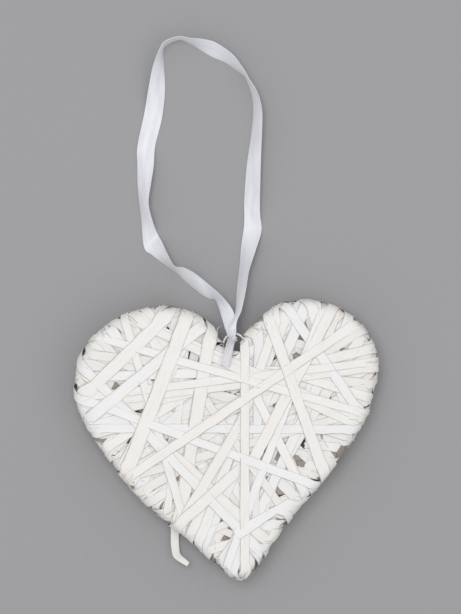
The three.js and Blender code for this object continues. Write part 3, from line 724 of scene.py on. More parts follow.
class LaidStrips:
    """How high the strips laid so far stand over the bare form.

    The two faces are kept in square cells, and the rim in flats of its half round by steps along
    the frame line. Shore cells are those of a face over the rim's first flat, and share its height.
    """

    CELL = 0.75
    REACH = 125.0
    SHORE = (-1.0, 4.0)

    def __init__(self, line: FrameLine, bare: float) -> None:
        """Start with the bare form.

        Args:
            line: The frame line.
            bare: The height of the bare form.
        """
        self.line = line
        self.bare = bare
        size = int(2 * self.REACH / self.CELL) + 2
        self.faces = {side: np.full((size, size), bare) for side in (1, -1)}
        self.rim = np.full((RIM_STEPS, line.count), bare)
        self.shore = np.full((size, size), -1)
        fine = np.arange(0, line.count, 0.5)
        points, outward, _ = line.at(fine * line.step)
        for out in np.arange(self.SHORE[1], self.SHORE[0] - 0.01, -0.5):
            ix, iy = self.cells(points + outward * out)
            self.shore[ix, iy] = np.floor(fine).astype(int) % line.count

    def cells(self, points: np.ndarray) -> tuple[np.ndarray, np.ndarray]:
        """Return the cells that points of a face lie in."""
        index = np.floor((points + self.REACH) / self.CELL).astype(int)
        return index[..., 0], index[..., 1]

    def flat(self, side: int) -> np.ndarray:
        """Return the rim's flat beside a face."""
        return self.rim[0 if side > 0 else -1]

    def face_height(self, side: int, points: np.ndarray) -> np.ndarray:
        """Return the heights at points of a face.

        Args:
            side: 1 for the front, -1 for the back.
            points: Points of that face.

        Returns:
            The height of what is laid there, in the same shape.
        """
        ix, iy = self.cells(points)
        shore = self.shore[ix, iy]
        beside = np.where(shore >= 0, self.flat(side)[shore], self.bare)
        return np.maximum(self.faces[side][ix, iy], beside)

    def raise_face(self, side: int, points: np.ndarray, heights: np.ndarray) -> None:
        """Lay something on a face.

        Args:
            side: 1 for the front, -1 for the back.
            points: Points that it covers.
            heights: Its top over each.
        """
        ix, iy = self.cells(points)
        np.maximum.at(self.faces[side], (ix, iy), heights)
        shore = self.shore[ix, iy]
        there = shore >= 0
        np.maximum.at(self.flat(side), shore[there], heights[there])

    def rim_cells(self, low: float, high: float) -> np.ndarray:
        """Return the rim's steps between two lengths along the frame line.

        Args:
            low: The lower length.
            high: The higher one.

        Returns:
            The steps, past the line's start where need be.
        """
        first = math.floor(low / self.line.step)
        last = math.ceil(high / self.line.step)
        return np.arange(first, last + 1) % self.line.count

    def surface(self, point: Point, side: int = 1) -> float:
        """Return how far a point of the surface lies from the middle plane.

        Args:
            point: The point as seen from the front.
            side: 1 for the front, -1 for the back.

        Returns:
            The distance of what is laid there from the plane through the rim's middle.
        """
        s = self.line.nearest(point)
        places, outward, _ = self.line.at(s)
        out = float((np.array(point) - places[0]) @ outward[0])
        around = np.array(point) + np.array([(dx, dy) for dx in (-2, 0, 2) for dy in (-2, 0, 2)])
        if out <= 0:
            return RIM_HALF_DEPTH + PRESSED * float(self.face_height(side, around).max())
        height = PRESSED * float(self.rim[:, self.rim_cells(s - 2, s + 2)].max())
        share = min(out / (float(self.line.reach(s)[0]) + height), 1.0) ** (2 / RIM_SQUARENESS)
        return (RIM_HALF_DEPTH + height) * (1 - share) ** (RIM_SQUARENESS / 2)

    def settle(self, most: float) -> None:
        """Press everything down to at most a height, as the new bare form.

        Args:
            most: The height.
        """
        for face in self.faces.values():
            np.minimum(face, most, out=face)
        np.minimum(self.rim, most, out=self.rim)


@dataclass
class Stations:
    """Stations along a strip: its two edges at the bare form, how they rise, and its height."""

    left: np.ndarray
    left_up: np.ndarray
    right: np.ndarray
    right_up: np.ndarray
    height: np.ndarray
    on_rim: np.ndarray

    @classmethod
    def joined(cls, runs: Sequence["Stations"]) -> "Stations":
        """Return several runs as one, end to end."""
        return cls(*(np.concatenate([getattr(run, one.name) for run in runs]) for one in fields(cls)))

    def part(self, rows: slice | np.ndarray) -> "Stations":
        """Return some of the stations."""
        return Stations(*(getattr(self, one.name)[rows] for one in fields(self)))


@dataclass(frozen=True)
class Crossing:
    """Where a strip crosses the rim, and how it moves along it on its way round."""

    s: float
    side: int
    shift: float
    spreads: tuple[float, float]


class StripPath:
    """One strip's way round the heart: back, rim, front, rim and back."""

    SPACING = 2.6
    SOUNDING = 1.3
    PROBE = 0.7
    SCATTER = 43758.5

    def __init__(
        self, line: FrameLine, laid: LaidStrips, one: Pass, joint: float,
        thickness: float = STRIP_THICKNESS, gaps: Point = (LAYER_GAP, RIM_GAP), most: float = math.inf,
    ) -> None:
        """Lay the strip.

        Args:
            line: The frame line.
            laid: What lies there already; the strip is added to it.
            one: Its pass over the front.
            joint: The share of its back run at which its ends meet.
            thickness: Its thickness.
            gaps: The air under it on the faces and on the rim.
            most: The greatest height that it may lie at.
        """
        self.line, self.laid, self.width = line, laid, one.width
        self.thickness, self.gaps, self.most = thickness, gaps, most
        points, outwards, _ = line.at(np.array([one.begin, one.end]))
        heading = unit(points[1] - points[0])
        entry = self._crossing(one.begin, outwards[0], -heading, -1)
        leave = self._crossing(one.end, outwards[1], heading, 1)
        entry, leave, back_length = self._match_back(entry, leave)
        entry_heights, exit_heights = self._rim_heights(entry), self._rim_heights(leave)
        open_share = JOINT_GAP / 2 / back_length
        back_ends = (self._rim_ends(leave, 1), self._rim_ends(entry, 1))
        runs = []
        if one.start is Start.BACK:
            run = self.face_run(-1, back_ends, (joint + open_share, 1), (laid.bare, entry_heights[-1]))
            entry_heights[-1] = run.height[-1]
            runs.append(run.part(slice(None, -1)))
        if one.start is Start.LIP:
            entry_heights = entry_heights[:3]
        inside = one.start is Start.INSIDE
        front_start = self._cut_end(one, heading) if inside else self._rim_ends(entry, 0)
        first = laid.bare if inside else entry_heights[0]
        across = self.face_run(1, (front_start, self._rim_ends(leave, 0)), (0, 1), (first, exit_heights[0]))
        exit_heights[0] = across.height[-1]
        if not inside:
            entry_heights[0] = across.height[0]
            self._lay_rim(entry, entry_heights)
            round_run = self._rim_stations(entry, entry_heights)
            runs.append(round_run.part(slice(len(entry_heights) - 1, 0, -1)))
        runs.append(across.part(slice(None, -1)))
        stop = joint - open_share if one.start is Start.BACK else one.stop
        run = self.face_run(-1, back_ends, (0, stop), (exit_heights[-1], laid.bare))
        exit_heights[-1] = run.height[0]
        self._lay_rim(leave, exit_heights)
        runs += [self._rim_stations(leave, exit_heights), run.part(slice(1, None))]
        self.stations = Stations.joined(runs)

    def _crossing(self, s: float, outward: np.ndarray, heading: np.ndarray, side: int) -> Crossing:
        """Return a crossing whose heading points outward.

        Args:
            s: The length on the frame line.
            outward: The outward direction there.
            heading: The strip's heading, out over the rim.
            side: 1 where it leaves the front, -1 where it enters.

        Returns:
            The crossing, with how far it shifts on its way to the back.
        """
        out = float(heading @ outward)
        along = float(heading @ np.array([-outward[1], outward[0]]))
        length = math.pi * math.hypot(RIM_REACH, RIM_HALF_DEPTH) * math.sqrt(0.5)
        shift = max(-MOST_SHIFT, min(MOST_SHIFT, along / out * length))
        return Crossing(s, side, shift, (1 / max(out, LEAST_SQUARENESS), 1))

    def _match_back(self, entry: Crossing, leave: Crossing) -> tuple[Crossing, Crossing, float]:
        """Give both crossings the spread of the back run that joins them, and return its length.

        Args:
            entry: The crossing by which the strip comes onto the front.
            leave: The one by which it leaves.

        Returns:
            The two crossings and the length of the back run.
        """
        lengths = np.array([leave.s + leave.shift, entry.s + entry.shift])
        points, outwards, _ = self.line.at(lengths)
        run = points[1] - points[0]
        length = float(np.linalg.norm(run))
        out = np.abs(outwards @ (run / length))
        matched = [
            Crossing(c.s, c.side, c.shift, (c.spreads[0], 1 / max(float(o), LEAST_SQUARENESS)))
            for c, o in ((leave, out[0]), (entry, out[1]))
        ]
        return matched[1], matched[0], length

    def _section(self, crossing: Crossing, t: np.ndarray | float) -> tuple[np.ndarray, np.ndarray]:
        """Return the strip's middle on the frame line and half its spread, from 0 in front to 1.

        Args:
            crossing: The crossing.
            t: Shares of the way round the rim.

        Returns:
            The lengths of its middle and half its spread along the line.
        """
        t = np.atleast_1d(t)
        middle = crossing.s + crossing.shift * t
        _, _, bends = self.line.at(middle)
        stretch = np.maximum(1 + bends * self.line.reach(middle) * np.sin(math.pi * t), 0.45)
        spread = crossing.spreads[0] * (1 - t) + crossing.spreads[1] * t
        return middle, self.width / 2 * spread / stretch

    def _rim_ends(self, crossing: Crossing, t: float) -> tuple[np.ndarray, np.ndarray]:
        """Return the left and right edge points where the rim meets a face.

        Args:
            crossing: The crossing.
            t: 0 for the front, 1 for the back.

        Returns:
            The left and the right edge point.
        """
        middle, half = self._section(crossing, t)
        off = crossing.side * half
        points, _, _ = self.line.at(np.concatenate([middle + off, middle - off]))
        return points[0], points[1]

    def _span(self, crossing: Crossing, flat: int) -> tuple[float, float]:
        """Return the lengths on the frame line between which the strip crosses a flat.

        Args:
            crossing: The crossing.
            flat: The flat's number, from the front.

        Returns:
            The lower and the higher length.
        """
        middle, half = self._section(crossing, np.array([flat, flat + 1]) / RIM_STEPS)
        return float(np.min(middle - half)), float(np.max(middle + half))

    def _resting(self, height: np.ndarray | float, gap: float) -> np.ndarray:
        """Return the height that a strip takes over what lies there.

        Args:
            height: The height of what lies there.
            gap: The air over it.

        Returns:
            The strip's height, at most what this one may have.
        """
        laid = np.where(np.asarray(height) > self.laid.bare, height + gap, self.laid.bare)
        return np.minimum(laid, self.most)

    def _rim_heights(self, crossing: Crossing) -> np.ndarray:
        """Return the strip's heights round the rim, from front to back.

        Args:
            crossing: The crossing.

        Returns:
            A height for each step between the flats.
        """
        needs = []
        for flat in range(RIM_STEPS):
            cells = self.laid.rim_cells(*self._span(crossing, flat))
            needs.append(float(self._resting(self.laid.rim[flat][cells].max(), self.gaps[1])))
        return np.array([
            max(needs[max(step - 1, 0)], needs[min(step, RIM_STEPS - 1)]) for step in range(RIM_STEPS + 1)
        ])

    def _lay_rim(self, crossing: Crossing, heights: np.ndarray) -> None:
        """Count the strip as laid round the rim.

        Args:
            crossing: The crossing.
            heights: The strip's heights round the rim.
        """
        for flat in range(len(heights) - 1):
            cells = self.laid.rim_cells(*self._span(crossing, flat))
            top = max(heights[flat], heights[flat + 1]) + self.thickness
            self.laid.rim[flat][cells] = np.maximum(self.laid.rim[flat][cells], top)

    def _rim_stations(self, crossing: Crossing, heights: np.ndarray) -> Stations:
        """Return the stations round the rim.

        Args:
            crossing: The crossing.
            heights: The strip's heights, from the front on.

        Returns:
            A station for each height.
        """
        t = np.arange(len(heights)) / RIM_STEPS
        middle, half = self._section(crossing, t)
        angle = math.pi * (0.5 - t)
        chance = [math.sin(crossing.s * k) * self.SCATTER % 1 for k in (12.9, 7.7)]
        square = RIM_SQUARENESS * mix(0.78, 1.2, chance[0])
        stand_off = RIM_STEP * (chance[1] - 0.5) * np.sin(math.pi * t)
        edges = []
        for side in (crossing.side, -crossing.side):
            points, outward, _ = self.line.at(middle + side * half)
            out = self.line.reach(middle) * np.maximum(np.cos(angle), 0) ** square + stand_off
            up = RIM_HALF_DEPTH * np.sign(np.sin(angle)) * np.abs(np.sin(angle)) ** square
            base = np.column_stack([points + outward * out[:, None], up])
            rise = np.column_stack([outward * np.cos(angle)[:, None], np.sin(angle)])
            edges += [base, rise]
        return Stations(*edges, heights.copy(), np.ones(len(heights)))

    def _cut_end(self, one: Pass, heading: np.ndarray) -> tuple[np.ndarray, np.ndarray]:
        """Return the edge points of a strip's cut end on the front.

        Args:
            one: The pass.
            heading: Its heading.

        Returns:
            The left and the right corner.
        """
        side = np.array([-heading[1], heading[0]])
        along = np.array(one.cut, float) if one.cut else side.copy()
        along = along * (one.width / 2 / float(along @ side))
        middle = np.array(one.first, float)
        return middle + along, middle - along

    def face_run(
        self, side: int, ends: Sequence[tuple[np.ndarray, np.ndarray]], shares: Point, heights: Point,
    ) -> Stations:
        """Lay a run over one face, pulled tight over what lies there.

        Args:
            side: 1 for the front, -1 for the back.
            ends: The left and right edge points at its two ends.
            shares: The shares of the way between which it is laid.
            heights: The least heights of its two ends.

        Returns:
            Its stations, in order.
        """
        (left_a, right_a), (left_b, right_b) = ends
        longest = max(np.linalg.norm(left_b - left_a), np.linalg.norm(right_b - right_a))
        length = longest * (shares[1] - shares[0])
        count = max(4, math.ceil(length / self.SOUNDING))
        t = np.linspace(shares[0], shares[1], count + 1)[:, None]
        left, right = left_a + (left_b - left_a) * t, right_a + (right_b - right_a) * t
        grid, _ = rows_between(left, right, math.ceil(self.width / self.PROBE) + 1)
        needs = self._resting(self.laid.face_height(side, grid).max(axis=1), self.gaps[0])
        eased = needs.copy()
        eased[1:] = np.maximum(eased[1:], needs[:-1])
        eased[:-1] = np.maximum(eased[:-1], needs[1:])
        eased[0], eased[-1] = max(eased[0], heights[0]), max(eased[-1], heights[1])
        tight = self._tight(eased)
        self.laid.raise_face(side, grid.reshape(-1, 2), np.repeat(tight + self.thickness, grid.shape[1]))
        up = np.tile([0.0, 0.0, float(side)], (count + 1, 1))
        level = np.full((count + 1, 1), side * RIM_HALF_DEPTH)
        run = Stations(
            np.hstack([left, level]), up, np.hstack([right, level]), up.copy(), tight, np.zeros(count + 1),
        )
        keep = np.unique(np.linspace(0, count, max(3, round(length / self.SPACING)) + 1).astype(int))
        return run.part(keep)

    @staticmethod
    def _tight(heights: np.ndarray) -> np.ndarray:
        """Return the upper hull of a row of heights: a strip pulled tight over them.

        Args:
            heights: The heights to pass over.

        Returns:
            The heights of the tight strip.
        """
        corners: list[int] = []
        for at, height in enumerate(heights):
            while len(corners) > 1:
                a, b = corners[-2], corners[-1]
                line = heights[a] + (height - heights[a]) * (b - a) / (at - a)
                if heights[b] > line:
                    break
                corners.pop()
            corners.append(at)
        return np.interp(np.arange(len(heights)), corners, heights[corners])


class Wander:
    """Smooth random values along a length, from one seeded source."""

    def __init__(self, seed: int) -> None:
        """Seed the source."""
        self.source = np.random.default_rng(seed)

    def along(self, lengths: np.ndarray, spacing: float, size: float) -> np.ndarray:
        """Return values that change about every spacing, with a size as their spread.

        Args:
            lengths: Where the values are wanted.
            spacing: The distance over which they change.
            size: Their spread.

        Returns:
            A value for each length.
        """
        knots = np.arange(lengths.min() - spacing, lengths.max() + 2 * spacing, spacing)
        return np.interp(lengths, knots, self.source.normal(0, size, len(knots)))

    def uniform(self, low: float, high: float) -> float:
        """Return one value between two others."""
        return float(self.source.uniform(low, high))


class MeshParts:
    """Gathers bands into one mesh, with where each point lies on its strip."""

    def __init__(self) -> None:
        """Start with nothing."""
        self.vertices: list[np.ndarray] = []
        self.faces: list[np.ndarray] = []
        self.places: list[np.ndarray] = []
        self.wear: list[np.ndarray] = []
        self.count = 0

    def add_band(self, top: np.ndarray, bottom: np.ndarray, seed: float, bare: float = 0.0) -> None:
        """Add a closed band.

        Args:
            top: Its outer points, station by station and from left to right.
            bottom: Its inner points, in the same order.
            seed: A number that tells it from other bands.
            bare: How little paint it has, from 0 to 1; on inner strips it is also painted shade of depth.
        """
        stations, across = top.shape[:2]
        ring = np.concatenate([top, bottom[:, ::-1]], axis=1)
        size = 2 * across
        i, j = np.meshgrid(np.arange(stations - 1), np.arange(size), indexing="ij")
        k = (j + 1) % size
        corners = [i * size + j, i * size + k, (i + 1) * size + k, (i + 1) * size + j]
        sides = np.stack(corners, axis=-1).reshape(-1, 4)
        a = np.arange(across - 1)
        start = np.stack([a, size - 1 - a, size - 2 - a, a + 1], axis=-1)
        end = (stations - 1) * size + start[:, ::-1]
        self.faces.append(np.concatenate([sides, start, end]) + self.count)
        along = run_lengths(top.mean(axis=1))
        widths = np.linalg.norm(top[:, 0] - top[:, -1], axis=1)
        shares = np.linspace(-0.5, 0.5, across)
        shares = np.concatenate([shares, shares[::-1]])
        off = widths[:, None] * shares[None, :]
        place = np.stack([np.repeat(along[:, None], size, axis=1), off, np.full_like(off, seed)], axis=-1)
        wear = np.zeros((stations, size, 3))
        wear[..., 0] = 2 * shares
        wear[..., 1] = bare
        self.vertices.append(ring.reshape(-1, 3))
        self.places.append(place.reshape(-1, 3))
        self.wear.append(wear.reshape(-1, 3))
        self.count += stations * size

    def mesh(
        self, name: str, to_metres: Callable[[np.ndarray], np.ndarray], crease: float = 38,
    ) -> bpy.types.Object:
        """Return the gathered bands as one object.

        Args:
            name: The object's name.
            to_metres: Turns drawing millimetres into the frame's metres.
            crease: The angle in degrees from which an edge shows as sharp.

        Returns:
            The object, linked to the scene.
        """
        mesh = bpy.data.meshes.new(name)
        points = to_metres(np.concatenate(self.vertices))
        faces = np.concatenate(self.faces)
        mesh.vertices.add(len(points))
        mesh.vertices.foreach_set("co", points.ravel())
        mesh.loops.add(faces.size)
        mesh.loops.foreach_set("vertex_index", faces.ravel().astype(np.int32))
        mesh.polygons.add(len(faces))
        mesh.polygons.foreach_set("loop_start", np.arange(0, faces.size, 4, dtype=np.int32))
        mesh.update(calc_edges=True)
        mesh.validate()
        for attribute, values in (("place", self.places), ("wear", self.wear)):
            layer = mesh.attributes.new(attribute, "FLOAT_VECTOR", "POINT")
            layer.data.foreach_set("vector", np.concatenate(values).ravel())
        mesh.polygons.foreach_set("use_smooth", np.ones(len(mesh.polygons), dtype=bool))
        mesh.set_sharp_from_angle(angle=math.radians(crease))
        return add_object(name, mesh)


class StripShaper:
    """Turns a strip's stations into a thin cupped splint with uneven edges."""

    ACROSS = 5
    MOST_EASING = 0.12
    CRINKLE = 0.2
    UNDER_GAP = 0.03

    def __init__(self, seed: int) -> None:
        """Seed the strip's unevenness."""
        self.wander = Wander(seed)
        self.seed = seed
        self.snags: list[tuple[np.ndarray, np.ndarray, np.ndarray]] = []

    def shape(
        self, parts: MeshParts, stations: Stations, thickness: float, bare: float = 0.0,
        across: int = ACROSS,
    ) -> None:
        """Add the splint to a mesh.

        Args:
            parts: The mesh being gathered.
            stations: The strip's stations.
            thickness: Its thickness.
            bare: How little paint it has, which on inner strips is also painted shade of depth.
            across: How many points it has across.
        """
        middle = (stations.left + stations.right) / 2
        along = run_lengths(middle)
        height = PRESSED * self._eased(stations.height)
        left, right = stations.left.copy(), stations.right.copy()
        reach = right - left
        rough = 1 + 0.5 * stations.on_rim
        ragged = [
            (self.wander.along(along, 9, 0.022) + self.wander.along(along, 2.6, 0.014) * rough)[:, None]
            for _ in range(2)
        ]
        left, right = left + reach * ragged[0], right + reach * ragged[1]
        base, u = rows_between(left, right, across)
        up, _ = rows_between(stations.left_up, stations.right_up, across)
        rise = unit(up)
        cup = self.wander.along(along, 30, 0.07)[:, None, None]
        twist = self.wander.along(along, 40, 0.07)[:, None, None]
        lift = cup * (1 - (2 * u - 1) ** 2) + twist * (2 * u - 1)
        crinkle = self.wander.source.normal(0, self.CRINKLE, (len(height), across, 1))
        crinkle = crinkle * stations.on_rim[:, None, None]
        under = base + up * height[:, None, None] + rise * (lift + crinkle + self.UNDER_GAP)
        top = under + rise * thickness
        self._tear(top, under, middle, 0)
        self._tear(top, under, middle, -1)
        travel = unit(np.gradient(middle, axis=0))
        for i in np.flatnonzero(stations.on_rim):
            j = 0 if self.wander.uniform(0, 1) < 0.5 else across - 1
            self.snags.append((top[i, j], rise[i, j], travel[i]))
        parts.add_band(top, under, float(self.seed % 97) + 0.37, bare)

    def _eased(self, height: np.ndarray) -> np.ndarray:
        """Return heights with their corners rounded, as wood bends.

        Args:
            height: The heights, station by station.

        Returns:
            The rounded heights, hardly below the given ones.
        """
        padded = np.concatenate([height[:1], height, height[-1:]])
        soft = (padded[:-2] + 2 * padded[1:-1] + padded[2:]) / 4
        return np.maximum(soft, height - self.MOST_EASING)

    def _tear(self, top: np.ndarray, under: np.ndarray, middle: np.ndarray, end: int) -> None:
        """Make a cut end uneven.

        Args:
            top: The strip's outer points, which are changed.
            under: Its inner points, which are changed.
            middle: Its middle line.
            end: 0 for its first station, -1 for its last.
        """
        inner = 1 if end == 0 else -2
        travel = unit(middle[end] - middle[inner])
        for j in range(top.shape[1]):
            shift = travel * self.wander.uniform(-0.8, 0.5)
            top[end, j] += shift
            under[end, j] += shift


class Shade:
    """A socket of a material's nodes, with the arithmetic that shader maths needs."""

    def __init__(self, graph: "Graph", socket: bpy.types.NodeSocket | None) -> None:
        """Wrap a socket of a graph."""
        self.graph = graph
        self.socket = socket

    def _math(self, operation: str, first: "Shade | float", second: "Shade | float") -> "Shade":
        """Return a Math node on two values."""
        return self.graph.node("ShaderNodeMath", {"operation": operation}, {0: first, 1: second})

    def __add__(self, other: "Shade | float") -> "Shade":
        """Return the sum."""
        return self._math("ADD", self, other)

    __radd__ = __add__

    def __sub__(self, other: "Shade | float") -> "Shade":
        """Return the difference."""
        return self._math("SUBTRACT", self, other)

    def __rsub__(self, other: float) -> "Shade":
        """Return a number less this."""
        return self._math("SUBTRACT", other, self)

    def __mul__(self, other: "Shade | float") -> "Shade":
        """Return the product."""
        return self._math("MULTIPLY", self, other)

    __rmul__ = __mul__

    def absolute(self) -> "Shade":
        """Return the value without its sign."""
        return self._math("ABSOLUTE", self, 0.0)

    def between(self, low: float, high: float) -> "Shade":
        """Return 0 up to low, 1 from high on, and a smooth rise between.

        Args:
            low: Where the rise begins.
            high: Where it ends.

        Returns:
            The smooth step.
        """
        settings = {"interpolation_type": "SMOOTHSTEP"}
        return self.graph.node("ShaderNodeMapRange", settings, {0: self, 1: low, 2: high, 3: 0.0, 4: 1.0})


class Graph:
    """A material's nodes, built by one method."""

    def __init__(self, name: str) -> None:
        """Start an empty material.

        Args:
            name: The material's name.
        """
        self.material = bpy.data.materials.new(name)
        self.material.use_nodes = True
        self.tree = self.material.node_tree
        self.tree.nodes.clear()

    def node(
        self, kind: str, settings: dict[str, object] | None = None,
        inputs: dict[str | int, object] | None = None, output: str | int = 0,
    ) -> Shade:
        """Add a node.

        Args:
            kind: Its type.
            settings: Its own settings, set first.
            inputs: Values or links for its sockets, by name or number.
            output: The socket to return.

        Returns:
            The output socket, empty for the node that ends a material.
        """
        made = self.tree.nodes.new(kind)
        for name, value in (settings or {}).items():
            setattr(made, name, value)
        for name, value in (inputs or {}).items():
            if isinstance(value, Shade):
                self.tree.links.new(value.socket, made.inputs[name])
            else:
                made.inputs[name].default_value = value
        return Shade(self, made.outputs[output] if len(made.outputs) else None)

    def axes(self, attribute: str) -> tuple[Shade, Shade, Shade]:
        """Return the three values of one of the mesh's attributes.

        Args:
            attribute: The attribute's name.

        Returns:
            Its three values.
        """
        vector = self.node("ShaderNodeAttribute", {"attribute_name": attribute}, {}, "Vector")
        x, y, z = (self.node("ShaderNodeSeparateXYZ", {}, {0: vector}, axis) for axis in range(3))
        return x, y, z

    def blend(self, factor: Shade | float, first: Shade | Colour, second: Shade | Colour) -> Shade:
        """Return a colour a share of the way from one to another.

        Args:
            factor: The share.
            first: The colour at 0.
            second: The colour at 1.

        Returns:
            The mixed colour.
        """
        ends = [value if isinstance(value, Shade) else (*value, 1.0) for value in (first, second)]
        return self.node("ShaderNodeMix", {"data_type": "RGBA"}, {0: factor, 6: ends[0], 7: ends[1]}, 2)

    def noise(self, along: Shade, across: Shade, seed: Shade, detail: float = 3.0) -> Shade:
        """Return smooth noise over a strip's own coordinates.

        Args:
            along: Where, along the strip.
            across: Where, across it.
            seed: The number of its band.
            detail: How fine the noise gets.

        Returns:
            Values round a half.
        """
        where = self.node("ShaderNodeCombineXYZ", {}, {0: along, 1: across, 2: seed * 7.31})
        settings = {"noise_dimensions": "3D"}
        return self.node("ShaderNodeTexNoise", settings, {"Vector": where, "Scale": 1.0, "Detail": detail})

    def finish(
        self, base: Shade | Colour, roughness: Shade | float, height: Shade, depth: float, **plain: float,
    ) -> None:
        """Close the graph with a shader.

        Args:
            base: Its colour.
            roughness: Its roughness.
            height: What its bump follows.
            depth: The bump's depth in metres.
            plain: Other values of the shader, the same all over.
        """
        bump = self.node("ShaderNodeBump", {}, {"Strength": 1.0, "Distance": depth, "Height": height})
        colour = base if isinstance(base, Shade) else (*base, 1.0)
        inputs: dict[str | int, object] = {"Base Color": colour, "Roughness": roughness, "Normal": bump}
        for name, value in plain.items():
            inputs[name.replace("_", " ").title().replace("Ior", "IOR")] = value
        shader = self.node("ShaderNodeBsdfPrincipled", {}, inputs)
        self.node("ShaderNodeOutputMaterial", {}, {"Surface": shader})


@dataclass(frozen=True)
class PaintedWood:
    """Thin white paint over a wood splint, worn along the edges, with painted shade along the edges and on
    the deeper strips.

    Attributes:
        name: The material's name.
        paint: The paint's colour.
        stain: The colour of its thin places.
        wood: The bare wood's colour.
    """

    name: str
    paint: Colour
    stain: Colour
    wood: Colour

    def material(self) -> bpy.types.Material:
        """Return the finish as a material.

        Returns:
            The material, which reads the mesh's place and how worn, thin-painted and painted-shaded each
            point is.
        """
        graph = Graph(self.name)
        along, across, seed = graph.axes("place")
        share, bare, _ = graph.axes("wear")
        grain = graph.noise(along * 0.12, across * 2.4, seed)
        fibres = graph.noise(along * 0.3, across * 7.0, seed + 3.0, 2.0)
        blotches = graph.noise(along * 0.09, across * 0.25, seed + 5.0, 2.0)
        nibbles = graph.noise(along * 0.8, across * 0.5, seed + 8.0, 2.0)
        # A higher bare value, given to the deeper strips, turns them toward stain and wood: thin paint, and
        # painted shade of depth
        thin = (grain * 0.6 + blotches * 0.4 + bare * 0.4).between(0.46, 0.8)
        worn = (grain * 0.55 + fibres * 0.3 + bare * 0.3).between(0.56, 0.8)
        drift = graph.noise(along * 0.07, across * 0.05, seed + 12.0, 2.0).between(0.35, 0.65)
        # Edge lines: partly worn paint, partly painted contact shade between strips, and darker on one side
        # as painted shadow
        edge = (share.absolute() + nibbles * 0.12).between(0.9, 0.99)
        side = share.between(-0.2, 0.2)
        hairs = graph.noise(along * 0.06, across * 5.5, seed + 9.0, 2.0).between(0.6, 0.72)
        colour = graph.blend(bare * 0.75, self.paint, self.wood)
        colour = graph.blend(thin * 0.75, colour, self.stain)
        colour = graph.blend(hairs * 0.35 * drift, colour, self.wood)
        colour = graph.blend(worn * 0.6, colour, self.wood)
        # Wood tone along the edges: wear, with painted shade that is heavier on one side
        colour = graph.blend(edge * (drift * 0.35 + side * 0.35 + 0.25), colour, self.wood)
        height = grain * 0.5 + fibres * 0.5
        graph.finish(colour, 0.62 + grain * 0.2, height, 0.00012, specular_ior_level=0.3)
        return graph.material


@dataclass(frozen=True)
class Satin:
    """Woven satin ribbon with a soft sheen along its length."""

    name: str
    face: Colour
    shadow: Colour

    def material(self) -> bpy.types.Material:
        """Return the finish as a material.

        Returns:
            The material, which reads the mesh's place.
        """
        graph = Graph(self.name)
        along, across, seed = graph.axes("place")
        threads = graph.noise(along * 0.15, across * 9.0, seed, 2.0)
        weft = graph.noise(along * 9.0, across * 0.6, seed + 2.0, 1.0)
        drift = graph.noise(along * 0.06, across * 0.3, seed + 4.0, 1.0)
        colour = graph.blend((threads * 0.4 + drift * 0.6).between(0.35, 0.75), self.face, self.shadow)
        graph.finish(
            colour, 0.36 + threads * 0.16, threads * 0.6 + weft * 0.4, 0.00006,
            specular_ior_level=0.5, sheen_weight=0.25, sheen_roughness=0.4,
        )
        return graph.material


@dataclass(frozen=True)
class WireCoating:
    """White plastic over wire, with faint smudges."""

    name: str
    colour: Colour
    smudge: Colour

    def material(self) -> bpy.types.Material:
        """Return the finish as a material.

        Returns:
            The material.
        """
        graph = Graph(self.name)
        where = graph.node("ShaderNodeTexCoord", {}, {}, "Object")
        marks = graph.node("ShaderNodeTexNoise", {}, {"Vector": where, "Scale": 380.0, "Detail": 3.0})
        colour = graph.blend(marks.between(0.45, 0.8), self.colour, self.smudge)
        graph.finish(colour, 0.3 + marks * 0.2, marks, 0.00005)
        return graph.material


@dataclass(frozen=True)
class PlainPaper:
    """The plain pale backdrop."""

    name: str
    colour: Colour

    def material(self) -> bpy.types.Material:
        """Return the finish as a material.

        Returns:
            The material.
        """
        graph = Graph(self.name)
        where = graph.node("ShaderNodeTexCoord", {}, {}, "Object")
        tooth = graph.node("ShaderNodeTexNoise", {}, {"Vector": where, "Scale": 900.0, "Detail": 2.0})
        graph.finish(self.colour, 0.9, tooth, 0.00002, specular_ior_level=0.1)
        return graph.material


PAINTS = {
    paint.name: paint for paint in (
        PaintedWood("paint_warm_white", (0.87, 0.858, 0.84), (0.76, 0.73, 0.7), (0.47, 0.42, 0.385)),
        PaintedWood("paint_cool_white", (0.865, 0.865, 0.87), (0.76, 0.745, 0.735), (0.46, 0.42, 0.395)),
        PaintedWood("paint_cream_white", (0.87, 0.852, 0.825), (0.765, 0.725, 0.69), (0.47, 0.41, 0.365)),
    )
}
# Inner strips: thin paint, made darker still as painted shade of the hollows under the top strips
INNER_PAINT_AND_SHADE = PaintedWood("thin_inner_paint", (0.42, 0.387, 0.355), (0.32, 0.285, 0.25), (0.12, 0.1, 0.085))
# Deep strips: bare wood, coloured near black as painted shade, so that the gaps down to them read as dark
# holes
DEEP_WOOD_AND_SHADE = PaintedWood("deep_bare_wood", (0.2, 0.175, 0.155), (0.1, 0.085, 0.072), (0.05, 0.042, 0.036))
SATIN = Satin("white_satin", (0.8, 0.81, 0.85), (0.69, 0.7, 0.76))
# Painted shade: the same satin made darker for the tail, which lies in shade down the rim
TAIL_SATIN_IN_SHADE = Satin("shaded_satin", (0.76, 0.745, 0.785), (0.6, 0.585, 0.64))
WIRE = WireCoating("white_wire_coating", (0.93, 0.93, 0.93), (0.82, 0.81, 0.8))
PAPER = PlainPaper("grey_paper", (0.349, 0.349, 0.358))


class Drawing:
    """Places the drawing's millimetres in the frame, by the ring that both share."""

    RING_MIDDLE = (5.6, 62.6, 0.0)

    def __init__(self) -> None:
        """Read where the ring is."""
        low, high = (np.array(corner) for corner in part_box("hanging_ring"))
        self.origin = (low + high) / 2 - np.array(self.RING_MIDDLE) * MM
        self.floor = -self.origin[2] / MM

    def metres(self, points: np.ndarray) -> np.ndarray:
        """Return drawing points in the frame's metres."""
        return np.asarray(points, float) * MM + self.origin


